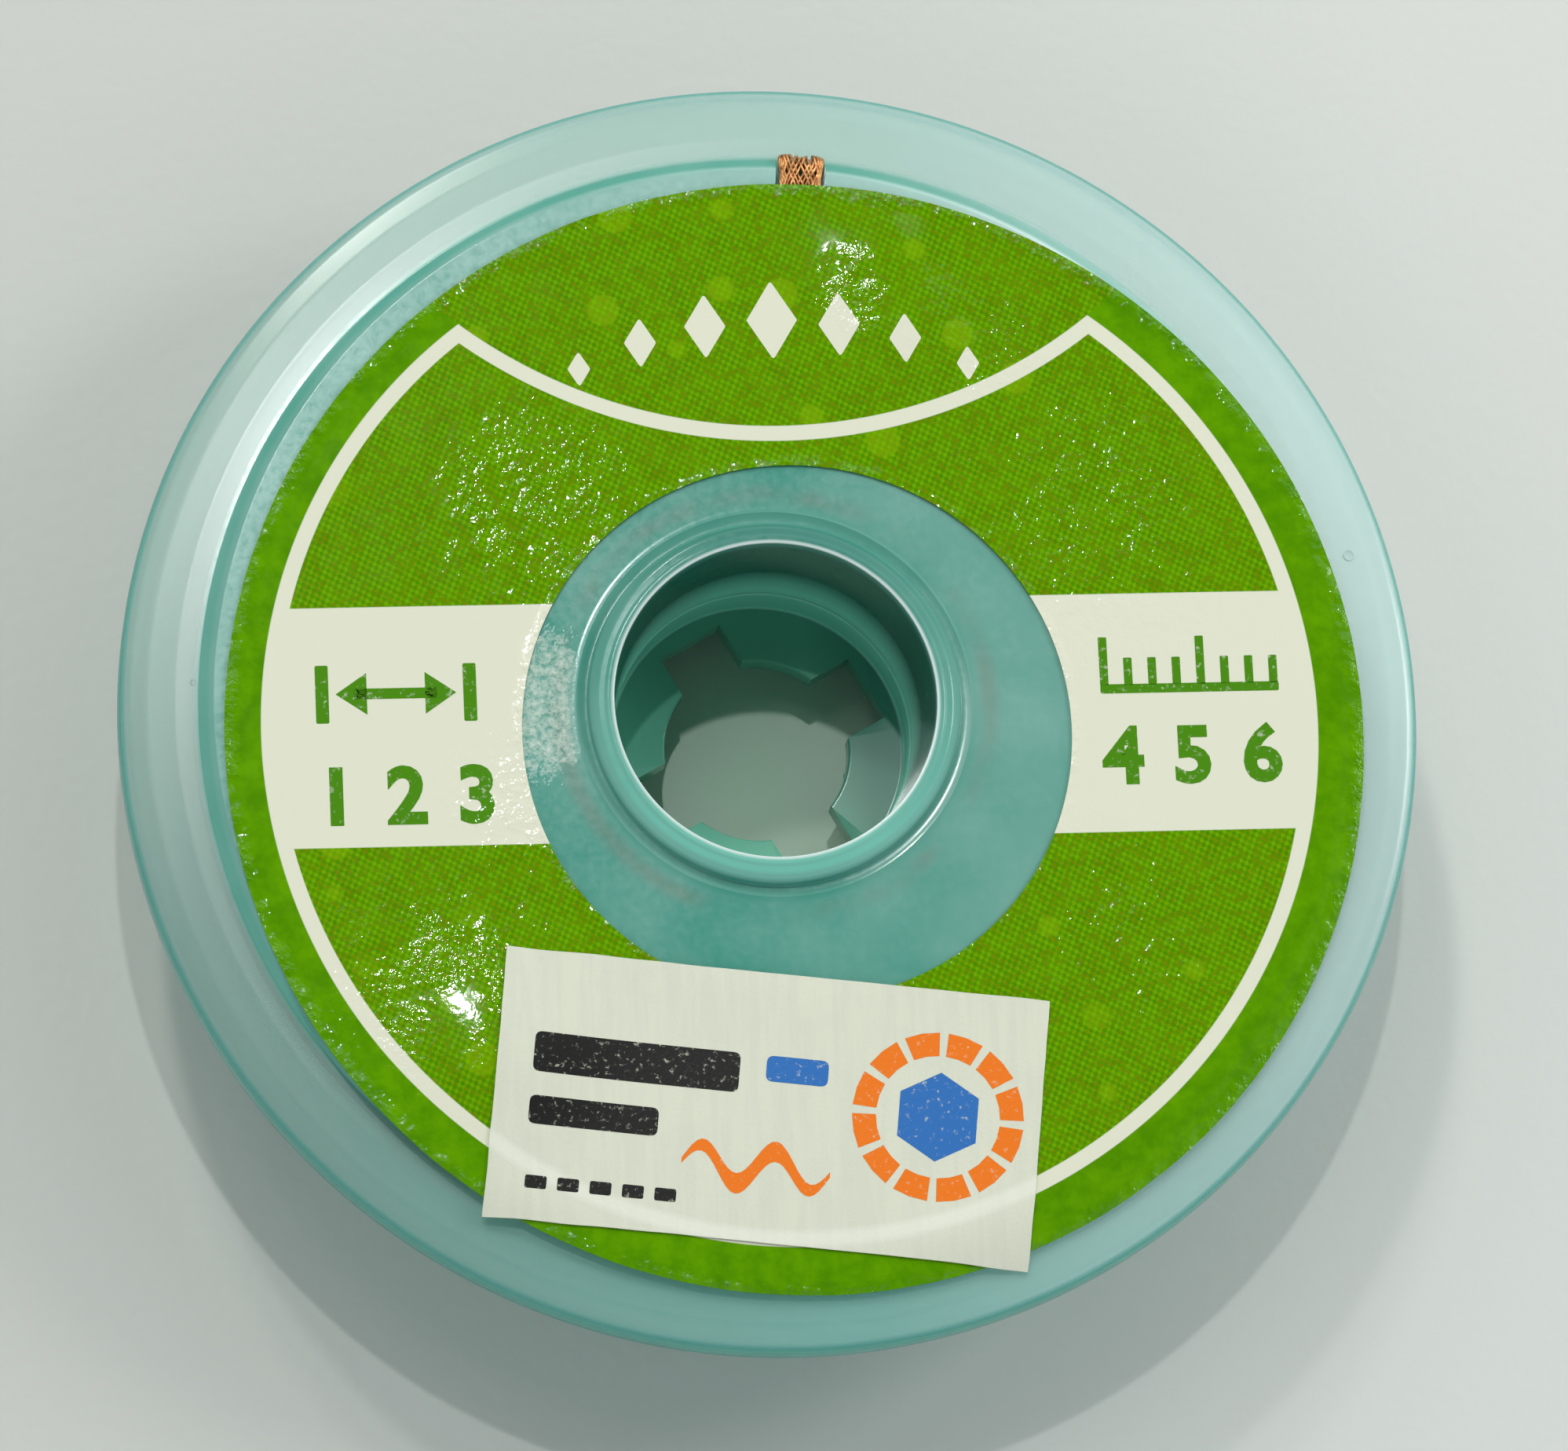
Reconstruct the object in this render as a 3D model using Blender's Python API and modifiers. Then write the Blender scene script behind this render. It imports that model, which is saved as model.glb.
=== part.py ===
"""Desoldering braid on its snap-together plastic spool, lying on its back.

Frame: origin at the middle of the underside, +Z up along the hub's axis, +Y towards the slot
where the braid comes out. Sizes below are in millimetres and are scaled to metres when used.
"""

import math

import bmesh
import bpy
from mathutils import Matrix, Vector

MM = 0.001

# Gap left between two pieces where one rests on or sits in the other
SEAT_GAP = 0.3

# Across the whole spool, over the brim
SPOOL_D = 55.0

# Front half, heights
RIM_Z = 12.0           # top of the collar round the bore, above the surface the spool lies on
COLLAR_H = 0.8         # how far the collar stands above the crown's flat face
COLLAR_ROUND_H = 0.45  # height of the collar's rounded top
CROWN_WALL_H = 0.6     # height of the sloping wall between crown and brim
CROWN_T = 0.95         # thickness of the crown's plate
BRIM_FALL = 0.15       # how far the brim falls from the crown wall to its lip
BRIM_T = 1.15          # thickness of the brim where it meets the crown wall
LIP_DROP = 0.5         # how far the lip hangs below the brim

# Front half, radii and widths from the brim inwards
BRIM_W = 3.4           # from the foot of the crown wall to the brim's outside
LIP_ROUND_W = 0.7      # how far the lip's rounding reaches inwards
LIP_T = 0.9            # thickness of the lip
CROWN_WALL_RUN = 0.55  # how far the crown wall slopes outwards
BORE_R = 6.8           # bore at the collar
BORE_TAPER = 0.44      # how much narrower the bore is at the tube's lower end
TUBE_T = 1.05          # wall of the collar and of the hub tube at the collar
EDGE = 0.12            # small moulded edges

# Back half
BACK_T = 0.8           # thickness of the back plate
FOOT_H = 0.4           # height of the foot rings under the back plate
FOOT_W = 1.7           # width of the outer foot ring
HUB_FOOT_W = 2.2       # width of the foot ring round the hub
FOOT_DRAFT = 0.15      # slope of the foot rings' inner sides
DRUM_T = 1.2           # wall of the drum
DRUM_CHAMFER = 0.4     # bevel round the drum's lower edge
SOCKET_T = 1.15        # wall of the socket that holds the hub tube
SOCKET_TOP_GAP = 0.35  # from the socket's top to the crown's underside

# Snap ring inside the hub: four tabs with square notches between them
SNAP_TOP_Z = 3.3
SNAP_T = 1.2
SNAP_STEP_H = 2.0      # from the snap ring's top to the floor that the hub tube stands over
SNAP_RING_W = 0.8      # whole ring outside the notches
TAB_L = 1.6            # how far the tabs reach inwards past the notches' ends
NOTCH_W = 3.0
NOTCH_ANGLE = 30.0     # degrees from +X to the first pair of notches
HUB_WALL = 1.15        # wall of the hub round the snap ring

# Slot in the crown for the braid, and the braid
EXIT_ANGLE = 85.8      # degrees from +X to the slot
BRAID_W = 1.9
BRAID_T = 0.4
TURN_PITCH = 0.45      # from one turn of the coil to the next
TURNS = 6
TURN_GROOVE = 0.14     # depth of the groove between two turns
LAYER_GAP = 0.1        # between turns that lie side by side
SLOT_L = 2.3           # length of the slot inside the crown wall
SLOT_PAST = 0.35       # how far the slot runs past the crown wall's foot
SLOT_DEPTH = 0.2       # floor of the slot below the foot of the crown wall
SILL = 0.2             # from the inside of the crown wall to where the slot's floor starts
TAIL_PAST = 0.05       # how far the braid's free end lies past the crown wall's foot
TAIL_RISE_L = 1.1      # from the sill back to the middle of the tail's rise
TAIL_BEND_L = 0.35     # from the sill back to the top of the tail's rise
TAIL_FLAT_L = 0.3      # how far the tail is flat past the sill
TAIL_SLACK = 0.1       # how far the tail sags before the slot and lifts at it

# Printed label and paper sticker
LABEL_INNER_R = 11.6
LABEL_SPILL = 0.5      # how much larger the label's radius is than the crown's
LABEL_X = 0.95         # the label is stuck on off centre
LABEL_Y = -1.2
LABEL_T = 0.12
STICKER_W = 22.85
STICKER_H = 11.5
STICKER_T = 0.08
STICKER_X = -0.72
STICKER_Y = -17.38
STICKER_TURN = -6.05   # degrees

# How far a cutter runs past what it cuts
OVERRUN = 0.5

# Sides of round things
STEPS = 64
COIL_STEPS = 48

# Heights that follow from the values above
CROWN_Z = RIM_Z - COLLAR_H
CROWN_UNDER_Z = CROWN_Z - CROWN_T
BRIM_Z = CROWN_Z - CROWN_WALL_H
BRIM_UNDER_Z = BRIM_Z - BRIM_T
LIP_TOP_Z = BRIM_Z - BRIM_FALL
LIP_BOTTOM_Z = BRIM_UNDER_Z - LIP_DROP
LIP_ROUND_H = (LIP_TOP_Z - LIP_BOTTOM_Z) / 2
PLATE_TOP_Z = FOOT_H + BACK_T
DRUM_TOP_Z = BRIM_UNDER_Z - SEAT_GAP
SOCKET_TOP_Z = CROWN_UNDER_Z - SOCKET_TOP_GAP
SOCKET_FLOOR_Z = SNAP_TOP_Z + SNAP_STEP_H
TUBE_BOTTOM_Z = SOCKET_FLOOR_Z + SEAT_GAP
SLOT_FLOOR_Z = BRIM_Z - SLOT_DEPTH
TAIL_Z = SLOT_FLOOR_Z + SEAT_GAP + BRAID_T / 2
LABEL_Z = CROWN_Z + SEAT_GAP
STICKER_Z = LABEL_Z + LABEL_T + SEAT_GAP

# Radii that follow
BRIM_R = SPOOL_D / 2
CROWN_FOOT_R = BRIM_R - BRIM_W
CROWN_R = CROWN_FOOT_R - CROWN_WALL_RUN
DRUM_R = CROWN_FOOT_R
DRUM_INNER_R = DRUM_R - DRUM_T
TUBE_R = BORE_R + TUBE_T
TUBE_END_R = BORE_R - BORE_TAPER
SOCKET_R = TUBE_R + SEAT_GAP
SOCKET_OUTER_R = SOCKET_R + SOCKET_T
NOTCH_R = TUBE_END_R - SNAP_RING_W
TAB_R = NOTCH_R - TAB_L
HUB_FOOT_R = TUBE_END_R + HUB_WALL
LABEL_OUTER_R = CROWN_R + LABEL_SPILL
SLOT_INNER_R = DRUM_INNER_R - SLOT_L
SILL_R = DRUM_INNER_R + SILL
SLOT_OUTER_R = CROWN_FOOT_R + SLOT_PAST
TAIL_END_R = CROWN_FOOT_R + TAIL_PAST
SLOT_W = BRAID_W + 2 * SEAT_GAP

# Size of the coil: as many layers side by side as the drum has room for
LAYER_PITCH = BRAID_W + LAYER_GAP
COIL_BOTTOM_Z = PLATE_TOP_Z + SEAT_GAP
LAYERS = int((CROWN_UNDER_Z - SEAT_GAP - COIL_BOTTOM_Z) / LAYER_PITCH)
COIL_TOP_Z = COIL_BOTTOM_Z + LAYERS * LAYER_PITCH
COIL_R = SOCKET_OUTER_R + SEAT_GAP
COIL_OUTER_R = COIL_R + TURNS * TURN_PITCH


def clear_scene():
    for obj in list(bpy.data.objects):
        bpy.data.objects.remove(obj, do_unlink=True)


def collection(name):
    made = bpy.data.collections.new(name)
    bpy.context.scene.collection.children.link(made)
    return made


def material(name, colour, roughness, metallic=0.0, alpha=1.0):
    made = bpy.data.materials.new(name)
    made.use_nodes = True
    shader = made.node_tree.nodes["Principled BSDF"]
    shader.inputs["Base Color"].default_value = (*colour, 1.0)
    shader.inputs["Roughness"].default_value = roughness
    shader.inputs["Metallic"].default_value = metallic
    shader.inputs["Alpha"].default_value = alpha
    return made


def add_object(name, mesh, where):
    obj = bpy.data.objects.new(name, mesh)
    where.objects.link(obj)
    return obj


def smooth(mesh, degrees=35.0):
    mesh.shade_smooth()
    mesh.set_sharp_from_angle(angle=math.radians(degrees))


def ring_mesh(name, profile, steps):
    """The mesh of a closed profile of (radius, height) points turned round the Z axis.

    The profile runs outwards along the top, down the outside and back along the underside.
    """
    outline = bpy.data.meshes.new(name + "_profile")
    count = len(profile)
    edges = [(i, (i + 1) % count) for i in range(count)]
    outline.from_pydata([(r * MM, 0.0, z * MM) for r, z in profile], edges, [])
    turned = bpy.data.objects.new(name, outline)
    bpy.context.scene.collection.objects.link(turned)
    screw = turned.modifiers.new("turn", "SCREW")
    screw.steps = steps
    screw.render_steps = steps
    screw.use_merge_vertices = True
    screw.merge_threshold = 0.00001
    bpy.context.view_layer.update()
    mesh = bpy.data.meshes.new_from_object(turned.evaluated_get(bpy.context.evaluated_depsgraph_get()))
    bpy.data.objects.remove(turned, do_unlink=True)
    mesh.name = name
    smooth(mesh)
    return mesh


def box_mesh(name, low, high, turn=0.0):
    """A box between two corners, turned round the Z axis by some degrees."""
    low = Vector(low) * MM
    high = Vector(high) * MM
    made = bmesh.new()
    bmesh.ops.create_cube(made, size=1.0)
    bmesh.ops.scale(made, vec=high - low, verts=made.verts)
    bmesh.ops.translate(made, vec=(low + high) / 2, verts=made.verts)
    bmesh.ops.rotate(made, matrix=Matrix.Rotation(math.radians(turn), 3, "Z"), verts=made.verts)
    mesh = bpy.data.meshes.new(name)
    made.to_mesh(mesh)
    made.free()
    return mesh


def add_cutter(name, mesh, where):
    obj = add_object(name, mesh, where)
    obj.hide_render = True
    obj.display_type = "WIRE"
    return obj


def add_boolean(obj, other, operation):
    modifier = obj.modifiers.new(other.name, "BOOLEAN")
    modifier.operation = operation
    modifier.solver = "EXACT"
    modifier.object = other


def arc(centre, radii, start, end, steps):
    """Points on an elliptical arc in the profile's plane, from one angle to another."""
    points = []
    for i in range(steps + 1):
        angle = math.radians(start + (end - start) * i / steps)
        points.append((centre[0] + radii[0] * math.cos(angle), centre[1] + radii[1] * math.sin(angle)))
    return points


def front_profile():
    """Collar, crown, brim with its rounded lip, and the hub tube."""
    collar = ((BORE_R + TUBE_R) / 2, RIM_Z - COLLAR_ROUND_H)
    lip = (BRIM_R - LIP_ROUND_W, LIP_TOP_Z - LIP_ROUND_H)
    points = arc(collar, (TUBE_T / 2, COLLAR_ROUND_H), 180, 0, 8)
    points += [(TUBE_R, CROWN_Z), (CROWN_R - EDGE, CROWN_Z), (CROWN_R + EDGE / 2, CROWN_Z - EDGE)]
    points += [(CROWN_FOOT_R - EDGE / 2, BRIM_Z + EDGE), (CROWN_FOOT_R + EDGE, BRIM_Z)]
    points += arc(lip, (LIP_ROUND_W, LIP_ROUND_H), 90, 0, 6)
    points += [(BRIM_R, LIP_BOTTOM_Z + EDGE), (BRIM_R - EDGE, LIP_BOTTOM_Z)]
    points += [(BRIM_R - LIP_T, LIP_BOTTOM_Z), (BRIM_R - LIP_T - EDGE, BRIM_UNDER_Z)]
    points += [(DRUM_INNER_R + EDGE, BRIM_UNDER_Z), (DRUM_INNER_R, CROWN_UNDER_Z)]
    points += [(TUBE_R, CROWN_UNDER_Z), (TUBE_R, TUBE_BOTTOM_Z), (TUBE_END_R, TUBE_BOTTOM_Z)]
    return points


def back_profile():
    """Socket for the hub tube, back plate with its foot rings, drum wall and snap ring."""
    points = [(SOCKET_R, SOCKET_TOP_Z), (SOCKET_OUTER_R, SOCKET_TOP_Z), (SOCKET_OUTER_R, PLATE_TOP_Z)]
    points += [(DRUM_INNER_R, PLATE_TOP_Z), (DRUM_INNER_R, DRUM_TOP_Z), (DRUM_R, DRUM_TOP_Z)]
    points += [(DRUM_R, DRUM_CHAMFER), (DRUM_R - DRUM_CHAMFER, 0.0)]
    points += [(DRUM_R - FOOT_W, 0.0), (DRUM_R - FOOT_W - FOOT_DRAFT, FOOT_H)]
    points += [(HUB_FOOT_R + HUB_FOOT_W + FOOT_DRAFT, FOOT_H), (HUB_FOOT_R + HUB_FOOT_W, 0.0)]
    points += [(HUB_FOOT_R, 0.0), (HUB_FOOT_R, SNAP_TOP_Z - SNAP_T)]
    points += [(TAB_R, SNAP_TOP_Z - SNAP_T), (TAB_R, SNAP_TOP_Z), (TUBE_END_R, SNAP_TOP_Z)]
    points += [(TUBE_END_R, SOCKET_FLOOR_Z), (SOCKET_R, SOCKET_FLOOR_Z)]
    return points


def coil_profile():
    """Wound braid: one ridge for each turn on both ends and for each layer on the outside."""
    points = []
    for i in range(TURNS):
        points.append((COIL_R + i * TURN_PITCH, COIL_TOP_Z - TURN_GROOVE))
        points.append((COIL_R + (i + 0.5) * TURN_PITCH, COIL_TOP_Z))
    for i in range(LAYERS):
        points.append((COIL_OUTER_R, COIL_TOP_Z - i * LAYER_PITCH - TURN_GROOVE))
        points.append((COIL_OUTER_R, COIL_TOP_Z - (i + 1) * LAYER_PITCH + TURN_GROOVE))
        if i < LAYERS - 1:
            points.append((COIL_OUTER_R - TURN_GROOVE, COIL_TOP_Z - (i + 1) * LAYER_PITCH))
    for i in reversed(range(TURNS)):
        points.append((COIL_R + (i + 0.5) * TURN_PITCH, COIL_BOTTOM_Z))
        points.append((COIL_R + i * TURN_PITCH, COIL_BOTTOM_Z + TURN_GROOVE))
    return points


def tail_route():
    """Stations of the braid from the coil's outer turn to its free end.

    Each is (degrees from the slot, radius, height, how far the flat braid is tipped on edge).
    """
    on_coil = COIL_OUTER_R - TURN_PITCH / 2
    standing_z = COIL_TOP_Z - LAYER_PITCH / 2
    flat_z = CROWN_UNDER_Z - SEAT_GAP - BRAID_T
    reach = SLOT_INNER_R - on_coil
    return [
        (-122, on_coil, standing_z, 90), (-104, on_coil + 0.10 * reach, standing_z, 90),
        (-82, on_coil + 0.24 * reach, standing_z, 90), (-58, on_coil + 0.42 * reach, standing_z, 78),
        (-34, on_coil + 0.60 * reach, (standing_z + flat_z) / 2, 48),
        (-14, on_coil + 0.76 * reach, flat_z - TAIL_SLACK, 16), (-3, on_coil + 0.89 * reach, flat_z, 2),
        (0, SLOT_INNER_R, flat_z + TAIL_SLACK, 0), (0, SILL_R - TAIL_RISE_L, (flat_z + TAIL_Z) / 2, 0),
        (0, SILL_R - TAIL_BEND_L, TAIL_Z, 0), (0, SILL_R + TAIL_FLAT_L, TAIL_Z, 0), (0, TAIL_END_R, TAIL_Z, 0),
    ]


def between(before, start, end, after, share):
    """A point on the smooth curve from start to end, passing on from before and towards after."""
    square, cube = share * share, share ** 3
    return (start * (2 - 5 * square + 3 * cube) + before * (2 * square - share - cube)
            + end * (share + 4 * square - 3 * cube) + after * (cube - square)) / 2


def tail_mesh(name):
    """The flat braid swept along its route, tipping over from on edge to flat."""
    stations = []
    for degrees, radius, height, tip in tail_route():
        angle = math.radians(EXIT_ANGLE + degrees)
        stations.append(Vector((radius * math.cos(angle), radius * math.sin(angle), height, tip)))
    route = []
    for i in range(len(stations) - 1):
        before, after = stations[max(i - 1, 0)], stations[min(i + 2, len(stations) - 1)]
        route += [between(before, stations[i], stations[i + 1], after, k / 3) for k in range(3)]
    route.append(stations[-1])
    edge = BRAID_T * 0.3
    section = [(-BRAID_W / 2, -BRAID_T / 2 + edge), (-BRAID_W / 2 + edge, -BRAID_T / 2),
               (BRAID_W / 2 - edge, -BRAID_T / 2), (BRAID_W / 2, -BRAID_T / 2 + edge),
               (BRAID_W / 2, BRAID_T / 2 - edge), (BRAID_W / 2 - edge, BRAID_T / 2),
               (-BRAID_W / 2 + edge, BRAID_T / 2), (-BRAID_W / 2, BRAID_T / 2 - edge)]
    made = bmesh.new()
    loops = []
    for i, station in enumerate(route):
        ahead = (route[min(i + 1, len(route) - 1)] - route[max(i - 1, 0)]).to_3d().normalized()
        across = ahead.cross(Vector((0, 0, 1))).normalized()
        up = across.cross(ahead)
        tip = math.radians(station[3])
        wide = across * math.cos(tip) + up * math.sin(tip)
        thick = up * math.cos(tip) - across * math.sin(tip)
        middle = station.to_3d()
        loops.append([made.verts.new((middle + wide * u + thick * v) * MM) for u, v in section])
    count = len(section)
    for first, second in zip(loops, loops[1:]):
        for k in range(count):
            made.faces.new((first[k], second[k], second[(k + 1) % count], first[(k + 1) % count]))
    made.faces.new(loops[0])
    made.faces.new(list(reversed(loops[-1])))
    bmesh.ops.recalc_face_normals(made, faces=made.faces)
    mesh = bpy.data.meshes.new(name)
    made.to_mesh(mesh)
    made.free()
    return mesh


def make_front(parts, cutters, plastic):
    front = add_object("front_half", ring_mesh("front_half", front_profile(), STEPS), parts)
    turn = EXIT_ANGLE - 90
    half = SLOT_W / 2
    above = RIM_Z + OVERRUN
    window = box_mesh("slot_window", (-half, SLOT_INNER_R, BRIM_UNDER_Z), (half, SILL_R, above), turn)
    channel = box_mesh("slot_channel", (-half, SILL_R - EDGE, SLOT_FLOOR_Z), (half, SLOT_OUTER_R, above), turn)
    add_boolean(front, add_cutter("slot_window", window, cutters), "DIFFERENCE")
    add_boolean(front, add_cutter("slot_channel", channel, cutters), "DIFFERENCE")
    front.data.materials.append(plastic)


def make_back(parts, cutters, plastic):
    back = add_object("back_half", ring_mesh("back_half", back_profile(), STEPS), parts)
    below = SNAP_TOP_Z - SNAP_T - OVERRUN
    above = SNAP_TOP_Z + OVERRUN
    for i in range(2):
        turn = NOTCH_ANGLE + 90 * i
        name = f"notch_pair_{i + 1}"
        bar = box_mesh(name, (-NOTCH_R, -NOTCH_W / 2, below), (NOTCH_R, NOTCH_W / 2, above), turn)
        add_boolean(back, add_cutter(name, bar, cutters), "DIFFERENCE")
    back.data.materials.append(plastic)


def make_braid(parts, cutters, copper):
    """Coil and tail are one length of braid, so they are one solid."""
    braid = add_object("braid", ring_mesh("braid", coil_profile(), COIL_STEPS), parts)
    add_boolean(braid, add_cutter("braid_tail", tail_mesh("braid_tail"), cutters), "UNION")
    braid.data.materials.append(copper)


def make_label(parts, film):
    top = LABEL_Z + LABEL_T
    profile = [(LABEL_INNER_R, top), (LABEL_OUTER_R, top), (LABEL_OUTER_R, LABEL_Z), (LABEL_INNER_R, LABEL_Z)]
    label = add_object("face_label", ring_mesh("face_label", profile, STEPS), parts)
    label.location = (LABEL_X * MM, LABEL_Y * MM, 0.0)
    label.data.materials.append(film)


def make_sticker(parts, paper):
    low = (-STICKER_W / 2, -STICKER_H / 2, STICKER_Z)
    high = (STICKER_W / 2, STICKER_H / 2, STICKER_Z + STICKER_T)
    sticker = add_object("paper_sticker", box_mesh("paper_sticker", low, high, STICKER_TURN), parts)
    sticker.location = (STICKER_X * MM, STICKER_Y * MM, 0.0)
    sticker.data.materials.append(paper)


def main():
    clear_scene()
    parts = collection("desoldering_braid")
    cutters = collection("cutters")
    plastic = material("mint_plastic", (0.38, 0.62, 0.55), 0.3, alpha=0.8)
    make_front(parts, cutters, plastic)
    make_back(parts, cutters, plastic)
    make_braid(parts, cutters, material("copper_braid", (0.72, 0.38, 0.24), 0.35, metallic=1.0))
    make_label(parts, material("green_label", (0.11, 0.3, 0.01), 0.25))
    make_sticker(parts, material("white_paper", (0.76, 0.78, 0.74), 0.6))


main()
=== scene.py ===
"""Looks of a desoldering braid spool: moulded plastic, printed label, paper sticker and woven copper.

Lengths in this file are millimetres unless a name says otherwise; mesh code scales them to metres.
"""
import math

import bmesh
import bpy
from mathutils import Matrix, Vector, noise


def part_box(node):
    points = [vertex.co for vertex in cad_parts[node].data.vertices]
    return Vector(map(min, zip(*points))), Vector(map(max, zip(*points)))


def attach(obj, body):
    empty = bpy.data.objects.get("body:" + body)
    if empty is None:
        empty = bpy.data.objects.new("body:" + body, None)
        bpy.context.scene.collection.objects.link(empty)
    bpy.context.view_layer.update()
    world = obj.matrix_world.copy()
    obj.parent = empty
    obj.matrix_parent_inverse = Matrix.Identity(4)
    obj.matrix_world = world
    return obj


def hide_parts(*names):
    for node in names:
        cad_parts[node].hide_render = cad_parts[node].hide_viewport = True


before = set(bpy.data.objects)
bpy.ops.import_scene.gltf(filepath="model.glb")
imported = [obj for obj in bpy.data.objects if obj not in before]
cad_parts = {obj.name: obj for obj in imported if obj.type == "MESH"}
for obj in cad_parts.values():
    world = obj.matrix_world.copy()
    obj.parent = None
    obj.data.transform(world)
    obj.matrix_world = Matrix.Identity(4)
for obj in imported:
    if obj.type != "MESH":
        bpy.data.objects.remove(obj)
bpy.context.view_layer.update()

MM = 0.001
BODY = "root"

# The camera, solved from the circles in the photograph: the frame's width and the focal length in
# pixels, where it stands, and how many degrees it leans to the south and to the west
FRAME_W = 1997
FRAME_FOCAL = 12000.0
CAMERA_AT = (-38.98, -99.647, 392.303)
CAMERA_SOUTH = 14.52
CAMERA_WEST = 5.71
SENSOR_W = 36.0

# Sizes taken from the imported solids
front_low, front_high = (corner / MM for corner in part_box("front_half"))
back_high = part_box("back_half")[1] / MM
label_low, label_high = (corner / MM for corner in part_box("face_label"))
BRIM_R = front_high.x
RIM_Z = front_high.z
LIP_BOTTOM_Z = 8.95
TUBE_BOTTOM_Z = front_low.z
DRUM_R = back_high.x
SOCKET_TOP_Z = back_high.z
LABEL_X = (label_low.x + label_high.x) / 2
LABEL_Y = (label_low.y + label_high.y) / 2
LABEL_OUTER_R = (label_high.x - label_low.x) / 2
LABEL_INNER_R = 11.6

# Front moulding
COLLAR_H = 0.8
CROWN_T = 0.95
CROWN_WALL_H = 0.6
CROWN_WALL_RUN = 0.55
BRIM_T = 1.15
DRUM_T = 1.2
CROWN_Z = RIM_Z - COLLAR_H
CROWN_UNDER_Z = CROWN_Z - CROWN_T
BRIM_Z = CROWN_Z - CROWN_WALL_H
BRIM_UNDER_Z = BRIM_Z - BRIM_T
CROWN_FOOT_R = DRUM_R
CROWN_R = CROWN_FOOT_R - CROWN_WALL_RUN
DRUM_INNER_R = DRUM_R - DRUM_T
BORE_R = 6.8
TUBE_R = 7.85
TUBE_END_R = 6.36
RIDGE_R = 8.35
RIDGE_H = 0.05
MARKS = ((24.76, 6.68, 0.22, 0.05), (-24.35, 1.07, 0.12, 0.05))  # x, y, radius, width of the line
MARK_H = 0.03

# Back moulding
PLATE_TOP_Z = 1.2
FOOT_H = 0.4
FOOT_W = 1.7
SOCKET_R = 8.15
SOCKET_OUTER_R = 9.3
SOCKET_FLOOR_Z = 5.3
SNAP_TOP_Z = 3.3
SNAP_T = 1.2
SNAP_BOTTOM_Z = SNAP_TOP_Z - SNAP_T
NOTCH_R = 5.56
TAB_R = 3.96
NOTCH_W = 3.0
NOTCH_ANGLE = 30.0
HUB_FOOT_R = 7.51
HUB_FOOT_W = 2.2

# Slot and braid
EXIT_ANGLE = 85.8
SLOT_W = 2.14
SLOT_INNER_R = 20.6
SILL_R = 23.1
SLOT_FLOOR_Z = BRIM_Z + 0.01
BRAID_W = 2.0
BRAID_T = 0.5
TAIL_Z = 10.95
TAIL_END_R = 24.14
COIL_R = 9.6
TURN_PITCH = 0.45
TURNS = 6
LAYERS = 4
LAYER_PITCH = 2.0
COIL_BOTTOM_Z = 1.5
COIL_TOP_Z = COIL_BOTTOM_Z + LAYERS * LAYER_PITCH
COIL_OUTER_R = COIL_R + TURNS * TURN_PITCH

# Label film and sticker
FILM_T = 0.1
FILM_LIFT = 0.012
LABEL_TURN = 1.15
RING_R = 22.3
RING_W = 0.66
STICKER_W = 22.8
STICKER_H = 11.45
STICKER_T = 0.08
STICKER_X = -0.72
STICKER_Y = -17.38
STICKER_TURN = -6.05

# Where the film is loose (x, y, width) and where it stands up in a blister (x, y, width, height)
LOOSE_FILM = ((13.5, 9.0, 4.5), (-13.5, -13.5, 3.5), (3.5, 18.5, 3.0))
BLISTERS = (
    (-11.9, -14.9, 2.5, 0.38), (5.1, 20.0, 1.5, 0.19), (6.2, 16.8, 1.4, 0.17), (15.5, -17.5, 2.5, 0.08),
)

# Patches of crinkled laminate (x, y, radius), and the calm spot in the middle of the largest glare
CRINKLED = (
    (14.0, 8.5, 9.5), (-13.5, -12.5, 7.5), (4.0, 18.0, 2.6), (-9.5, 8.5, 6.5),
    (-10.5, -4.5, 4.5), (15.0, -10.0, 7.5), (9.0, 15.5, 5.0),
)
CALM_AT = (-13.6, -13.4)

# The middle of the old glue on the hub
GLUE_AT = (-9.6, 0.0)

ROUND_STEPS = 320


def linear(red, green, blue):
    """A display colour of 0 to 255 as the linear colour that a shader takes."""
    def one(value):
        value /= 255
        return value / 12.92 if value <= 0.04045 else ((value + 0.055) / 1.055) ** 2.4
    return one(red), one(green), one(blue), 1.0


MINT = linear(202, 232, 224)
MINT_DEEP = linear(70, 153, 135)
# Painted shade in the bore, painted light towards its foot, and painted shade on the snap ring's tabs
BORE_SHADE = linear(10, 88, 68)
BORE_FOOT_LIGHT = linear(156, 248, 224)
MINT_TAB_SHADE = linear(98, 180, 156)
# Painted light on the east of the hub and on the ledge outside the label
BODY_EAST_LIGHT = linear(228, 246, 241)
LEDGE_EAST_LIGHT = linear(244, 254, 250)
# Painted light on the south of the collar and tabs, painted shade on the north of the collar and the east
# of the tabs
COLLAR_SOUTH_LIGHT = linear(130, 208, 188)
COLLAR_NORTH_SHADE = linear(52, 128, 112)
TAB_SOUTH_LIGHT = linear(132, 218, 192)
TAB_EAST_SHADE = linear(66, 142, 122)
WALL_TINT = linear(104, 186, 166)
# Painted shade on the south and west of the brim, painted light on its east
BRIM_SOUTH_SHADE = linear(178, 242, 232)
BRIM_WEST_SHADE = linear(176, 206, 196)
BRIM_EAST_LIGHT = linear(234, 254, 252)
LIP_TINT = linear(96, 196, 184)
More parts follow.
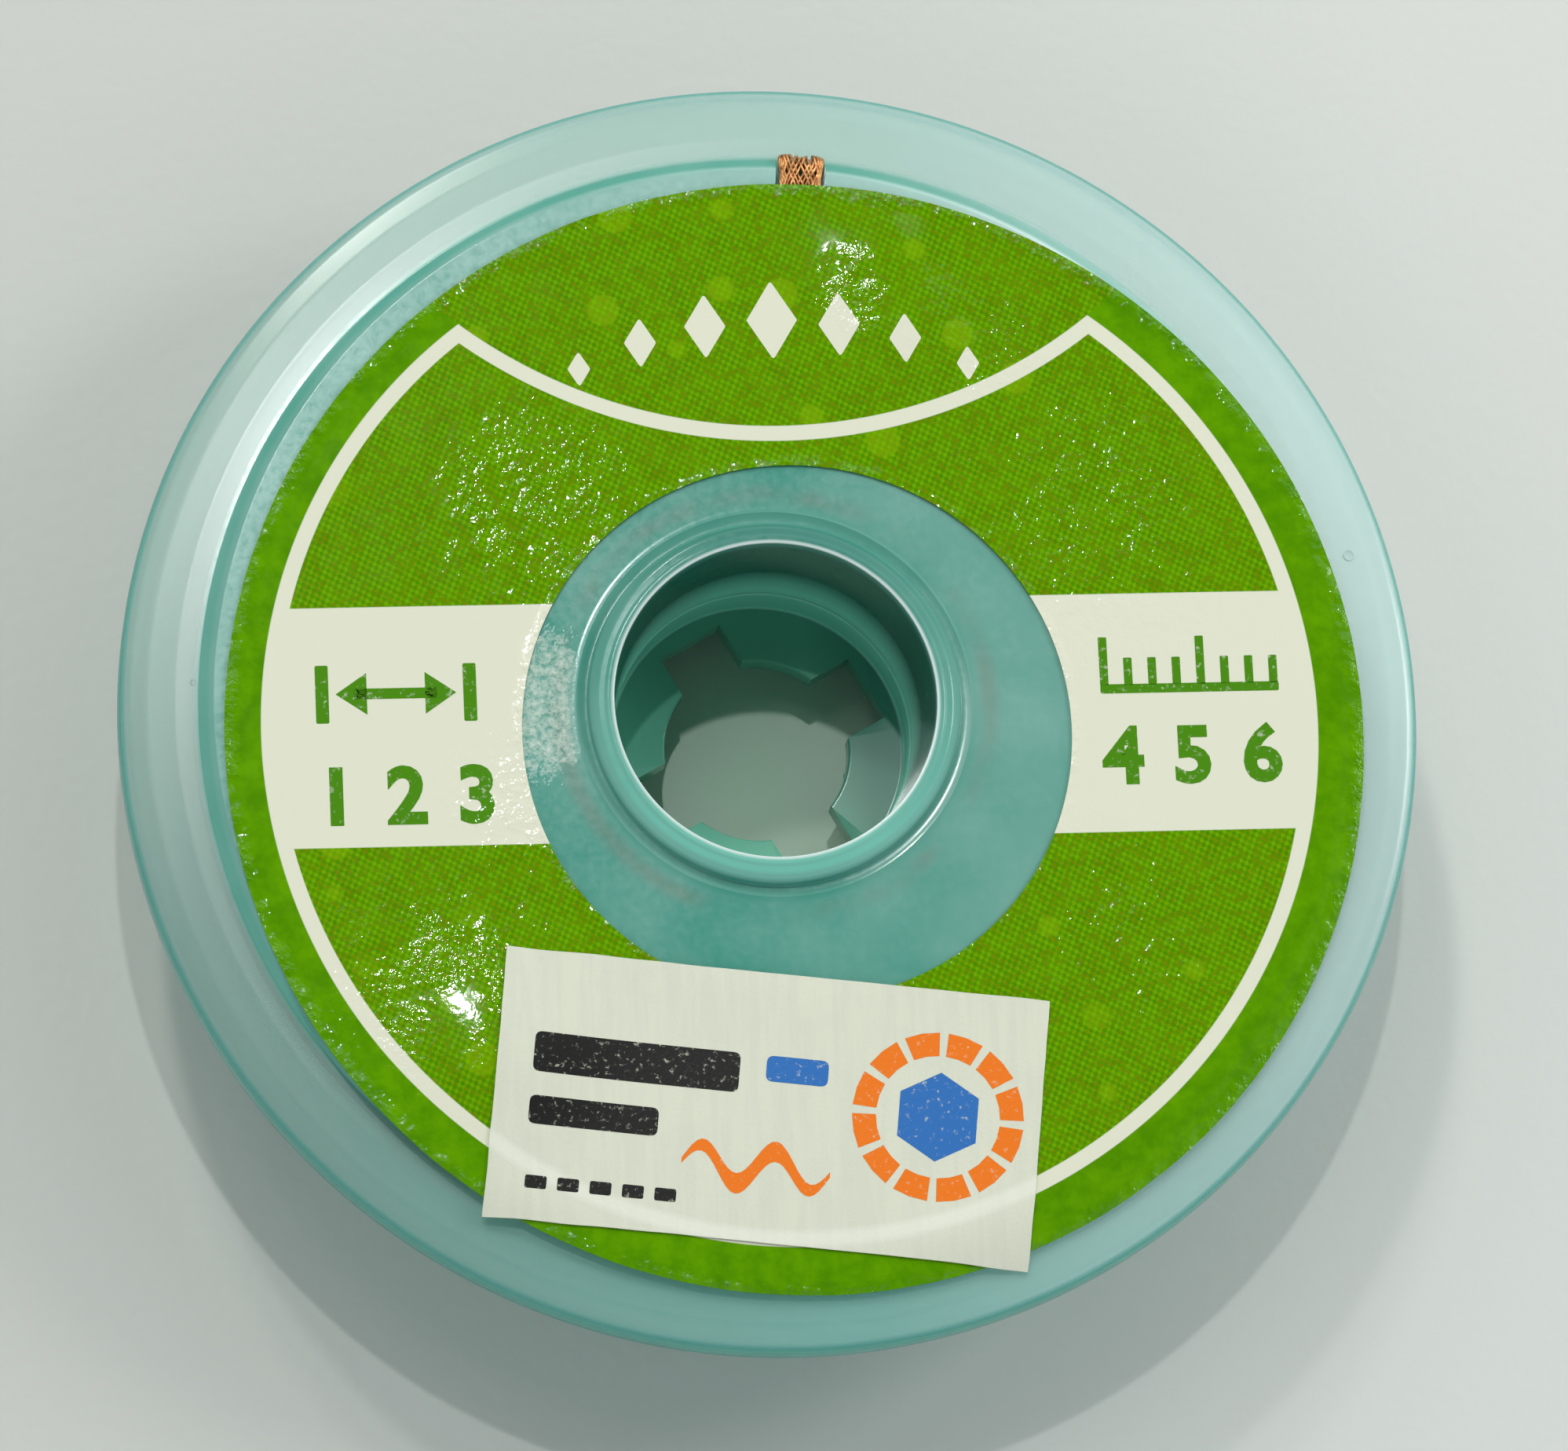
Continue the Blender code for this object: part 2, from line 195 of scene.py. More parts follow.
# Painted highlight on the bore's edge
BORE_EDGE_HIGHLIGHT = linear(240, 248, 244)
WARM_STAIN = linear(140, 112, 100)
OLD_GLUE = linear(214, 222, 208)
LABEL_GREEN = linear(95, 153, 1)
LABEL_GREEN_DARK = linear(66, 126, 1)
LABEL_OLIVE = linear(116, 126, 3)
LABEL_GREEN_LIGHT = linear(132, 176, 8)
LABEL_SCREEN = linear(112, 164, 3)
LABEL_WHITE = linear(220, 220, 198)
PAPER_WHITE = linear(211, 212, 192)
PAPER_SMUDGE = linear(196, 198, 186)
PAPER_FIBRE = linear(180, 182, 172)
# Painted shade of the creases in the paper
PAPER_CREASE_SHADE = linear(192, 194, 180)
PAPER_THIN = linear(238, 240, 228)
INK_GREEN = linear(74, 134, 22)
INK_BLACK = linear(24, 24, 22)
INK_ORANGE = linear(232, 116, 14)
INK_BLUE = linear(42, 106, 176)
COPPER = linear(216, 156, 100)
COPPER_DARK = linear(112, 66, 36)
TABLE_TOP = linear(209, 210, 204)
TABLE_CLOUD = linear(206, 210, 205)
# Painted shade towards the west of the table, and painted light on it under the bore
TABLE_WEST_SHADE = linear(190, 192, 185)
TABLE_BORE_LIGHT = linear(208, 232, 213)


# Mesh helpers

def finish_piece(obj, slot, *nodes):
    """Every piece rides on the one body and stands for the solids that it shows."""
    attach(obj, BODY)
    if nodes:
        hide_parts(*nodes)


def new_object(name, made):
    """An object from a bmesh in millimetres."""
    bmesh.ops.scale(made, vec=(MM, MM, MM), verts=made.verts)
    mesh = bpy.data.meshes.new(name)
    made.to_mesh(mesh)
    made.free()
    obj = bpy.data.objects.new(name, mesh)
    bpy.context.scene.collection.objects.link(obj)
    return obj


def smooth(obj, degrees=40.0):
    """Smooth shading that leaves the large flat faces flat beside their rounded edges."""
    obj.data.shade_smooth()
    obj.data.set_sharp_from_angle(angle=math.radians(degrees))
    modifier = obj.modifiers.new("flat_faces", "WEIGHTED_NORMAL")
    modifier.keep_sharp = True
    modifier.weight = 80


def rounded(corners, steps=6):
    """A closed outline from (x, y, fillet radius) corners, each fillet as points on a smooth curve."""
    outline = []
    count = len(corners)
    for i, (x, y, radius) in enumerate(corners):
        here = Vector((x, y))
        before = Vector(corners[i - 1][:2]) - here
        after = Vector(corners[(i + 1) % count][:2]) - here
        if radius <= 0:
            outline.append(here)
            continue
        half = before.angle(after) / 2
        reach = min(radius / math.tan(half), before.length * 0.45, after.length * 0.45)
        start = here + before.normalized() * reach
        end = here + after.normalized() * reach
        for k in range(steps + 1):
            share = k / steps
            flat = start * (1 - share) ** 2 + here * 2 * share * (1 - share) + end * share ** 2
            outline.append(flat)
    return outline


def turned(name, outline, steps=ROUND_STEPS):
    """A closed (radius, height) outline turned round the Z axis."""
    made = bmesh.new()
    rings = []
    for i in range(steps):
        angle = 2 * math.pi * i / steps
        rings.append([made.verts.new((r * math.cos(angle), r * math.sin(angle), z)) for r, z in outline])
    count = len(outline)
    for i in range(steps):
        first, second = rings[i], rings[(i + 1) % steps]
        for k in range(count):
            made.faces.new((first[k], first[(k + 1) % count], second[(k + 1) % count], second[k]))
    bmesh.ops.recalc_face_normals(made, faces=made.faces)
    return new_object(name, made)


def cut(obj, low, high, turn):
    """Cuts a box between two corners, turned round the Z axis by some degrees, out of a piece."""
    low, high = Vector(low), Vector(high)
    made = bmesh.new()
    bmesh.ops.create_cube(made, size=1.0)
    bmesh.ops.scale(made, vec=high - low, verts=made.verts)
    bmesh.ops.translate(made, vec=(low + high) / 2, verts=made.verts)
    bmesh.ops.rotate(made, matrix=Matrix.Rotation(math.radians(turn), 3, "Z"), verts=made.verts)
    cutter = new_object("cutter", made)
    modifier = obj.modifiers.new("cut", "BOOLEAN")
    modifier.operation = "DIFFERENCE"
    modifier.object = cutter
    bpy.context.view_layer.update()
    mesh = bpy.data.meshes.new_from_object(obj.evaluated_get(bpy.context.evaluated_depsgraph_get()))
    obj.modifiers.clear()
    obj.data = mesh
    bpy.data.objects.remove(cutter, do_unlink=True)


# Surfaces that thin pieces lie on

def hill(x, y, at_x, at_y, wide, high):
    """A smooth low mound of a given width and height, times its shape at a point."""
    return high * math.exp(-((x - at_x) ** 2 + (y - at_y) ** 2) / (2 * wide * wide))


def film_height(x, y):
    """Underside of the label: on the crown, blistered where the film isn't stuck down, and
    bending down past the crown's edge."""
    broad = noise.noise(Vector((x / 6.5, y / 6.5, 1.7)))
    fine = noise.noise(Vector((x / 1.9, y / 1.9, 5.3)))
    loose = sum(hill(x, y, at_x, at_y, wide, 1.0) for at_x, at_y, wide in LOOSE_FILM)
    ripple = 0.020 * (broad + 0.8) + 0.016 * min(loose, 1.0) * (fine + 0.9)
    ripple += sum(hill(x, y, *blister) for blister in BLISTERS)
    past = max(math.hypot(x, y) - CROWN_R + 0.2, 0.0)
    return CROWN_Z + FILM_LIFT + max(ripple, 0.0) - 0.09 * past * past


def sticker_height(x, y):
    """Underside of the sticker: on the label, and sagging a little over the label's hole."""
    inside = LABEL_INNER_R - math.hypot(x - LABEL_X, y - LABEL_Y)
    sag = min(max(inside / 1.6, 0.0), 1.0)
    sag = sag * sag * (3 - 2 * sag)
    lift = 0.02 * (noise.noise(Vector((x / 5, y / 5, 9.1))) + 1)
    return film_height(x, y) + FILM_T + FILM_LIFT + lift - 0.06 * sag


def turned_point(u, v, at_x, at_y, degrees):
    turn = math.radians(degrees)
    return (at_x + u * math.cos(turn) - v * math.sin(turn),
            at_y + u * math.sin(turn) + v * math.cos(turn))


def label_point(u, v):
    """Where a point of the label's own plane lies on the spool."""
    return turned_point(u, v, LABEL_X, LABEL_Y, LABEL_TURN)


def sticker_point(u, v):
    """Where a point of the sticker's own plane lies on the spool."""
    return turned_point(u, v, STICKER_X, STICKER_Y, STICKER_TURN)


def sheet_from_grid(name, rows, place, height, thickness, wrap):
    """A thin closed sheet over a grid of (u, v) points. Rows wrap round for a ring."""
    made = bmesh.new()
    tops, bottoms = [], []
    for row in rows:
        top, bottom = [], []
        for u, v in row:
            x, y = place(u, v)
            z = height(x, y)
            top.append(made.verts.new((x, y, z + thickness)))
            bottom.append(made.verts.new((x, y, z)))
        tops.append(top)
        bottoms.append(bottom)
    count = len(rows)
    across = len(rows[0])
    for i in range(count if wrap else count - 1):
        j = (i + 1) % count
        for k in range(across - 1):
            made.faces.new((tops[i][k], tops[j][k], tops[j][k + 1], tops[i][k + 1]))
            made.faces.new((bottoms[i][k], bottoms[i][k + 1], bottoms[j][k + 1], bottoms[j][k]))
        for k in (0, across - 1):
            made.faces.new((tops[i][k], bottoms[i][k], bottoms[j][k], tops[j][k]))
    if not wrap:
        for i in (0, count - 1):
            for k in range(across - 1):
                made.faces.new((tops[i][k], tops[i][k + 1], bottoms[i][k + 1], bottoms[i][k]))
    bmesh.ops.recalc_face_normals(made, faces=made.faces)
    return new_object(name, made)


INK_LIFT = 0.006
INK_EDGE = 0.45


def laid_ink(name, made, place, surface):
    """A flat printed shape, drawn in its sheet's own plane, laid on that sheet's top."""
    bmesh.ops.triangulate(made, faces=made.faces)
    for _ in range(6):
        long_edges = [edge for edge in made.edges if edge.calc_length() > INK_EDGE]
        if not long_edges:
            break
        bmesh.ops.subdivide_edges(made, edges=long_edges, cuts=1)
        bmesh.ops.triangulate(made, faces=[face for face in made.faces if len(face.verts) > 3])
    for vert in made.verts:
        x, y = place(vert.co.x, vert.co.y)
        vert.co = (x, y, surface(x, y) + INK_LIFT)
    bmesh.ops.recalc_face_normals(made, faces=made.faces)
    if sum(face.normal.z for face in made.faces) < 0:
        bmesh.ops.reverse_faces(made, faces=made.faces)
    obj = new_object(name, made)
    smooth(obj)
    return obj


def film_top(x, y):
    return film_height(x, y) + FILM_T


def sticker_top(x, y):
    return sticker_height(x, y) + STICKER_T


def add_outline(made, points):
    made.faces.new([made.verts.new((x, y, 0.0)) for x, y in points])


def round_point(at, radius, degrees):
    angle = math.radians(degrees)
    return at[0] + radius * math.cos(angle), at[1] + radius * math.sin(angle)


def add_bar(made, x, y, width, height, fillet=0.15):
    """A rounded bar with its lower left corner at x, y."""
    right, top = x + width, y + height
    corners = [(x, y, fillet), (right, y, fillet), (right, top, fillet), (x, top, fillet)]
    add_outline(made, rounded(corners, 4))


def add_text(made, words, x, y, height):
    """Plain figures from Blender's own font, as flat faces."""
    curve = bpy.data.curves.new("figures", "FONT")
    curve.body = words
    curve.size = height / 0.7
    curve.offset = 0.05 * height
    curve.space_character = 1.1
    curve.resolution_u = 4
    obj = bpy.data.objects.new("figures", curve)
    bpy.context.scene.collection.objects.link(obj)
    bpy.context.view_layer.update()
    mesh = bpy.data.meshes.new_from_object(obj.evaluated_get(bpy.context.evaluated_depsgraph_get()))
    mesh.transform(Matrix.Translation((x, y, 0.0)))
    made.from_mesh(mesh)
    bmesh.ops.remove_doubles(made, verts=made.verts, dist=0.0005)
    bpy.data.objects.remove(obj, do_unlink=True)


# Shader helpers

class Graph:
    """A material's nodes, with short calls for the ones used here."""

    def __init__(self, name):
        self.material = bpy.data.materials.new(name)
        self.material.use_nodes = True
        self.nodes = self.material.node_tree.nodes
        self.links = self.material.node_tree.links
        self.shader = self.nodes["Principled BSDF"]

    def feed(self, socket, value):
        if isinstance(value, bpy.types.NodeSocket):
            self.links.new(value, socket)
        else:
            socket.default_value = value

    def add(self, kind, **settings):
        node = self.nodes.new(kind)
        for key, value in settings.items():
            setattr(node, key, value)
        return node

    def math(self, operation, first, second=0.0, third=0.0):
        node = self.add("ShaderNodeMath", operation=operation)
        for socket, value in zip(node.inputs, (first, second, third)):
            self.feed(socket, value)
        return node.outputs[0]

    def times(self, first, second):
        """Two masks, or a mask and a share of it, as one."""
        return self.math("MULTIPLY", first, second)

    def place(self):
        """The point's own place on the piece, in millimetres."""
        node = self.add("ShaderNodeVectorMath", operation="SCALE")
        self.feed(node.inputs[0], self.add("ShaderNodeTexCoord").outputs["Object"])
        node.inputs["Scale"].default_value = 1 / MM
        return node.outputs[0]

    def stretched(self, vector, scale):
        node = self.add("ShaderNodeVectorMath", operation="MULTIPLY")
        self.feed(node.inputs[0], vector)
        node.inputs[1].default_value = scale
        return node.outputs[0]

    def split(self, vector):
        node = self.add("ShaderNodeSeparateXYZ")
        self.feed(node.inputs[0], vector)
        return node.outputs

    def noise(self, vector, scale, detail=3.0, roughness=0.5):
        node = self.add("ShaderNodeTexNoise")
        self.feed(node.inputs["Vector"], vector)
        node.inputs["Scale"].default_value = scale
        node.inputs["Detail"].default_value = detail
        node.inputs["Roughness"].default_value = roughness
        return node.outputs["Fac"]

    def ramp(self, value, low, high, start=0.0, end=1.0):
        """Value from low to high mapped onto start to end, and held outside."""
        node = self.add("ShaderNodeMapRange", clamp=True)
        self.feed(node.inputs["Value"], value)
        for key, number in (("From Min", low), ("From Max", high), ("To Min", start), ("To Max", end)):
            node.inputs[key].default_value = number
        return node.outputs["Result"]

    def mix(self, share, first, second):
        node = self.add("ShaderNodeMix", data_type="RGBA")
        self.feed(node.inputs[0], share)
        self.feed(node.inputs[6], first)
        self.feed(node.inputs[7], second)
        return node.outputs[2]

    def radius(self, x, y, at=(0.0, 0.0)):
        over = self.math("SUBTRACT", x, at[0])
        up = self.math("SUBTRACT", y, at[1])
        square = self.math("ADD", self.math("MULTIPLY", over, over), self.math("MULTIPLY", up, up))
        return self.math("SQRT", square)

    def bump(self, height, distance, strength=1.0, normal=None):
        node = self.add("ShaderNodeBump")
        node.inputs["Distance"].default_value = distance
        node.inputs["Strength"].default_value = strength
        self.feed(node.inputs["Height"], height)
        if normal is not None:
            self.feed(node.inputs["Normal"], normal)
        return node.outputs["Normal"]


# Materials

def crown_tints(g, place, x, r, z, on_crown):
    """Milky hub, with painted light: paler towards the east, and palest on the ledge outside the label."""
    clouds = g.noise(place, 0.25, 2.0)
    # Where painted light falls on the east of the hub; the brim takes the same mask
    east = g.times(g.ramp(x, 4.0, 23.0), g.times(g.ramp(r, 14.0, 22.0), g.ramp(z, 9.0, 9.4)))
    ledge = g.times(g.ramp(r, 22.0, 22.8), on_crown)
    colour = g.mix(g.ramp(clouds, 0.3, 0.7, 0.0, 0.14), MINT_DEEP, MINT)
    # Painted light: the crown and the ledge outside the label paler towards the east
    colour = g.mix(g.times(east, 0.85), colour, BODY_EAST_LIGHT)
    colour = g.mix(g.times(g.ramp(x, 1.0, 10.0, 0.0, 0.13), on_crown), colour, MINT)
    colour = g.mix(g.times(ledge, g.ramp(x, -16.0, 16.0, 0.14, 0.8)), colour, MINT)
    colour = g.mix(g.times(ledge, g.ramp(x, 8.0, 20.0)), colour, LEDGE_EAST_LIGHT)
    return colour, east


def hub_tints(g, colour, x, y, r, z, tabs):
    """Painted light and shade on the collar, the bore (dark shade that lightens towards its foot) and the
    tabs of the snap ring.
    """
    collar = g.times(g.ramp(r, TUBE_R, TUBE_R - 0.2), g.ramp(z, CROWN_Z + 0.3, CROWN_Z + 0.5))
    # Painted shade darkening the bore, and painted light making it paler towards its foot
    bore = g.times(g.ramp(r, BORE_R + 0.2, BORE_R + 0.05), g.ramp(z, RIM_Z - 0.1, RIM_Z - 0.6, 0.0, 0.9))
    low = g.times(g.ramp(z, 8.4, 6.2), bore)
    # Painted shade on the tabs: lighter on the south where light falls, darker on the east
    tab = g.mix(g.ramp(y, -2.0, -5.0), MINT_TAB_SHADE, TAB_SOUTH_LIGHT)
    tab = g.mix(g.ramp(x, 2.0, 5.0), tab, TAB_EAST_SHADE)
    # Painted light on the collar's south side and painted shade on its north side
    colour = g.mix(g.times(collar, g.ramp(y, 1.0, -6.0, 0.0, 0.75)), colour, COLLAR_SOUTH_LIGHT)
    colour = g.mix(g.times(collar, g.ramp(y, 2.0, 7.0, 0.0, 0.7)), colour, COLLAR_NORTH_SHADE)
    colour = g.mix(bore, colour, BORE_SHADE)
    colour = g.mix(low, colour, BORE_FOOT_LIGHT)
    return g.mix(tabs, colour, tab)


def brim_tints(g, colour, x, y, r, z, brim, east):
    """Crown wall, the brim with painted shade (deeper in the south, greyer in the west) and painted light
    (palest in the east), and its coloured lip.
    """
    wall = g.times(g.ramp(z, CROWN_Z - 0.08, CROWN_Z - 0.2), g.ramp(r, CROWN_R - 0.05, CROWN_R))
    lip = g.ramp(r, BRIM_R - 0.32, BRIM_R - 0.18)
    # Painted shade on the brim's south and west, and painted light on its east
    clear = g.mix(g.ramp(y, -4.0, -22.0, 0.0, 0.75), MINT, BRIM_SOUTH_SHADE)
    clear = g.mix(g.ramp(x, 2.0, -20.0, 0.0, 0.75), clear, BRIM_WEST_SHADE)
    clear = g.mix(g.times(east, 0.85), clear, BRIM_EAST_LIGHT)
    colour = g.mix(g.times(wall, 0.35), colour, WALL_TINT)
    colour = g.mix(brim, colour, clear)
    return g.mix(g.times(lip, 0.9), colour, LIP_TINT)


def wear_and_highlight_tints(g, place, colour, r, z, on_crown, frosted):
    """A painted highlight along the bore's edge, warm stains in a ring round the collar, and old glue."""
    # Painted highlight along the bore's edge
    edge = g.times(g.ramp(r, BORE_R + 0.18, BORE_R + 0.06), g.ramp(z, RIM_Z - 0.12, RIM_Z - 0.03))
    warm = g.times(g.times(g.ramp(r, 8.6, 9.0), g.ramp(r, 9.2, 9.7, 1.0, 0.0)), on_crown)
    warm = g.times(warm, g.ramp(g.noise(place, 0.22, 2.0, 0.7), 0.42, 0.6, 0.0, 0.26))
    colour = g.mix(g.times(edge, 0.75), colour, BORE_EDGE_HIGHLIGHT)
    colour = g.mix(warm, colour, WARM_STAIN)
    return g.mix(g.times(frosted, 0.75), colour, OLD_GLUE)


def glue_patch(g, place, x, y, r, on_crown):
    """The frosted patch of old glue beside the hub: ragged and speckled."""
    ragged = g.noise(place, 1.5, 3.0, 0.7)
    glue = g.math("ADD", g.radius(x, g.times(y, 0.62), GLUE_AT), g.times(ragged, -2.6))
    frosted = g.times(g.times(g.ramp(glue, 0.7, 0.3), g.ramp(r, 8.4, 8.7)), on_crown)
    return g.times(frosted, g.ramp(g.noise(place, 3.2, 4.0, 0.75), 0.36, 0.66))


def plastic_material():
    """Clear mint plastic, milky at the hub and rubbed dull in places."""
    g = Graph("mint_plastic")
    place = g.place()
    x, y, z = g.split(place)
    r = g.radius(x, y)
    on_crown = g.ramp(z, CROWN_Z - 0.3, CROWN_Z - 0.1)
    past_wall = g.ramp(r, CROWN_FOOT_R + 0.02, CROWN_FOOT_R + 0.3)
    brim = g.times(past_wall, g.ramp(z, LIP_BOTTOM_Z - 0.15, LIP_BOTTOM_Z - 0.05))
    inward = g.ramp(r, TUBE_END_R - 0.01, TUBE_END_R - 0.11)
    tabs = g.times(inward, g.ramp(z, SNAP_TOP_Z + 0.3, SNAP_TOP_Z + 0.1))
    frosted = glue_patch(g, place, x, y, r, on_crown)
    colour, east = crown_tints(g, place, x, r, z, on_crown)
    colour = hub_tints(g, colour, x, y, r, z, tabs)
    colour = brim_tints(g, colour, x, y, r, z, brim, east)
    colour = wear_and_highlight_tints(g, place, colour, r, z, on_crown, frosted)
    g.feed(g.shader.inputs["Base Color"], colour)
    # Rubbed unevenly, but for the tabs at the bottom and the even sheen of the brim
    off_tabs = g.math("SUBTRACT", 1.0, tabs)
    rubbed = g.math("SUBTRACT", g.noise(place, 2.5, 2.0, 0.7), 0.5)
    rubbed = g.math("MULTIPLY_ADD", rubbed, off_tabs, 0.5)
    off_brim = g.math("SUBTRACT", 1.0, brim)
    rough = g.math("MULTIPLY_ADD", brim, 0.25, g.times(off_brim, g.ramp(rubbed, 0.3, 0.7, 0.13, 0.23)))
    g.feed(g.shader.inputs["Roughness"], g.math("ADD", rough, g.times(frosted, 0.4)))
    grain = g.math("ADD", g.times(rubbed, g.times(off_brim, 0.3)), g.times(frosted, 4.0))
    g.feed(g.shader.inputs["Normal"], g.bump(grain, 0.004 * MM))
    g.shader.inputs["IOR"].default_value = 1.5
    clear = g.times(g.ramp(brim, 0.0, 1.0, 0.15, 0.72), g.ramp(frosted, 0.0, 1.0, 1.0, 0.2))
    g.feed(g.shader.inputs["Transmission Weight"], clear)
    return g.material


def patch(g, x, y, at, wide):
    """1 in the middle of a soft round patch, and 0 outside it."""
    return g.ramp(g.radius(x, y, at), wide, wide * 0.25)


def film_gloss(g, place, base):
    """The clear laminate over a print: glossy, with a crinkled grain in some patches that sparkles."""
    g.feed(g.shader.inputs["Base Color"], base)
    g.shader.inputs["IOR"].default_value = 1.45
    x, y, _ = g.split(place)
    loose = 0.0
    for at_x, at_y, wide in CRINKLED:
        loose = g.math("MAXIMUM", loose, patch(g, x, y, (at_x, at_y), wide))
    ragged = g.ramp(g.noise(place, 0.6, 2.0, 0.7), 0.34, 0.54)
    r = g.radius(x, y, (LABEL_X, LABEL_Y))
    edge = g.ramp(r, LABEL_OUTER_R - 0.7, LABEL_OUTER_R - 0.2, 0.0, 3.0)
    hole = g.ramp(r, LABEL_INNER_R + 0.5, LABEL_INNER_R + 0.15, 0.0, 1.5)
    loose = g.times(g.math("MAXIMUM", loose, g.math("MAXIMUM", edge, hole)), ragged)
    loose = g.times(loose, g.ramp(g.radius(x, y, CALM_AT), 0.8, 2.4, 0.12, 1.0))
    crinkle = g.times(g.noise(place, 2.7, 2.0, 0.6), g.math("MULTIPLY_ADD", loose, 0.98, 0.02))
    peel = g.noise(place, 0.7, 2.0, 0.5)
    first = g.bump(crinkle, 0.05 * MM)
    g.feed(g.shader.inputs["Normal"], g.bump(peel, 0.006 * MM, 1.0, first))
    g.feed(g.shader.inputs["Roughness"], g.ramp(peel, 0.3, 0.7, 0.04, 0.08))
    g.shader.inputs["Specular IOR Level"].default_value = 0.3


def printed_areas(g, x, y):
    """Where the label is white, and where its ink is screened: in the panels and the open top."""
    arc_at = (-0.2, 34.85)
    arc_r = 21.52
    band_y = 0.52
    band_h = 5.18
    soft = 0.02
    r = g.radius(x, y, (-0.22, 0.22))
    arc = g.radius(x, y, arc_at)
    inside = g.ramp(r, RING_R + soft, RING_R - soft)
    below_arc = g.ramp(arc, arc_r - soft, arc_r + soft)
    past_line = g.ramp(arc, arc_r + RING_W - soft, arc_r + RING_W + soft)
    in_ring = g.ramp(r, RING_R - RING_W + soft, RING_R - RING_W - soft)
    panel = g.times(past_line, in_ring)
    framed = g.times(below_arc, inside)
    line = g.times(framed, g.math("SUBTRACT", 1.0, panel))
    off_band = g.math("ABSOLUTE", g.math("SUBTRACT", y, band_y))
    band = g.times(g.ramp(off_band, band_h + soft, band_h - soft), inside)
    top = g.math("SUBTRACT", 1.0, below_arc)
    return g.math("MAXIMUM", line, band), g.math("MAXIMUM", panel, top)


def label_ink(g, place, x, y, screened):
    """Cloudy ink, with a screen of dots, olive stains and pale round spots where it is screened."""
    across = g.math("SINE", g.times(g.math("ADD", x, g.times(y, 0.35)), 17.0))
    along = g.math("SINE", g.times(g.math("SUBTRACT", y, g.times(x, 0.35)), 15.0))
    dots = g.ramp(g.times(across, along), -0.5, 0.6)
    cloud = g.ramp(g.noise(place, 0.9, 3.0, 0.65), 0.35, 0.65, 0.3, 1.0)
    ink = g.mix(cloud, LABEL_GREEN_DARK, LABEL_GREEN)
    stain = g.ramp(g.noise(place, 2.8, 2.0, 0.7), 0.45, 0.62)
    shade = g.mix(stain, LABEL_SCREEN, LABEL_OLIVE)
    ink = g.mix(g.times(screened, 0.45), ink, LABEL_GREEN_DARK)
    ink = g.mix(g.times(g.times(dots, screened), 0.9), ink, shade)
    cells = g.add("ShaderNodeTexVoronoi", feature="F1")
    g.feed(cells.inputs["Vector"], place)
    cells.inputs["Scale"].default_value = 0.30
    spot = g.ramp(cells.outputs["Distance"], 0.24, 0.20)
    some = g.ramp(g.noise(place, 0.08, 1.0), 0.47, 0.55)
    spot = g.times(g.times(spot, some), g.times(screened, 0.4))
    return g.mix(spot, ink, LABEL_GREEN_LIGHT)


def label_material():
    """Green print: a plain outer ring, a white ring line with a sagging arc across its open top,
    and a white band on each side of the hole."""
    g = Graph("green_label")
    place = g.place()
    turn = g.add("ShaderNodeVectorRotate", rotation_type="Z_AXIS")
    g.feed(turn.inputs["Vector"], place)
    turn.inputs["Center"].default_value = (LABEL_X, LABEL_Y, 0.0)
    turn.inputs["Angle"].default_value = math.radians(-LABEL_TURN)
    x, y, _ = g.split(turn.outputs[0])
    x = g.math("SUBTRACT", x, LABEL_X)
    y = g.math("SUBTRACT", y, LABEL_Y)
    white, screened = printed_areas(g, x, y)
    ink = label_ink(g, place, x, y, screened)
    film_gloss(g, place, g.mix(white, ink, LABEL_WHITE))
    return g.material


def ink_material(name, colour, worn, glossy):
    """Printing ink with small gaps where it hasn't taken."""
    g = Graph(name)
    place = g.place()
    gaps = g.ramp(g.noise(place, 4.0, 4.0, 0.7), 0.56 + worn, 0.66 + worn)
    base = g.mix(g.times(gaps, 0.5), colour, LABEL_WHITE)
    if glossy:
        film_gloss(g, place, base)
    else:
        g.feed(g.shader.inputs["Base Color"], base)
        g.feed(g.shader.inputs["Normal"], g.bump(g.noise(place, 6.0, 3.0), 0.01 * MM))
        g.shader.inputs["Roughness"].default_value = 0.42
        g.shader.inputs["Specular IOR Level"].default_value = 0.2
    return g.material


def paper_material():
    """Uncoated white paper: faint fibres, a grey smudge or two, darker streaks of painted crease shade, and
    the label's white line showing through."""
    g = Graph("white_paper")
    place = g.place()
    fibres = g.noise(place, 5.5, 5.0, 0.7)
    smudge = g.ramp(g.noise(place, 0.45, 4.0, 0.6), 0.52, 0.72)
    colour = g.mix(g.times(smudge, 0.22), PAPER_WHITE, PAPER_SMUDGE)
    colour = g.mix(g.ramp(fibres, 0.60, 0.75, 0.0, 0.35), colour, PAPER_FIBRE)
    x, y, _ = g.split(place)
    # Darker streaks: painted shade of creases
    creases = g.ramp(g.noise(g.stretched(place, (2.6, 0.25, 1.0)), 1.0, 3.0), 0.42, 0.62)
    colour = g.mix(g.times(creases, 0.22), colour, PAPER_CREASE_SHADE)
    r = g.radius(x, y, (LABEL_X - 0.2, LABEL_Y + 0.2))
    through = g.times(g.ramp(r, RING_R - 0.8, RING_R - 0.5), g.ramp(r, RING_R + 0.1, RING_R - 0.2))
    colour = g.mix(g.times(through, 0.35), colour, PAPER_THIN)
    g.feed(g.shader.inputs["Base Color"], colour)
    g.feed(g.shader.inputs["Roughness"], g.ramp(fibres, 0.3, 0.7, 0.5, 0.65))
    g.feed(g.shader.inputs["Normal"], g.bump(fibres, 0.016 * MM))
    return g.material


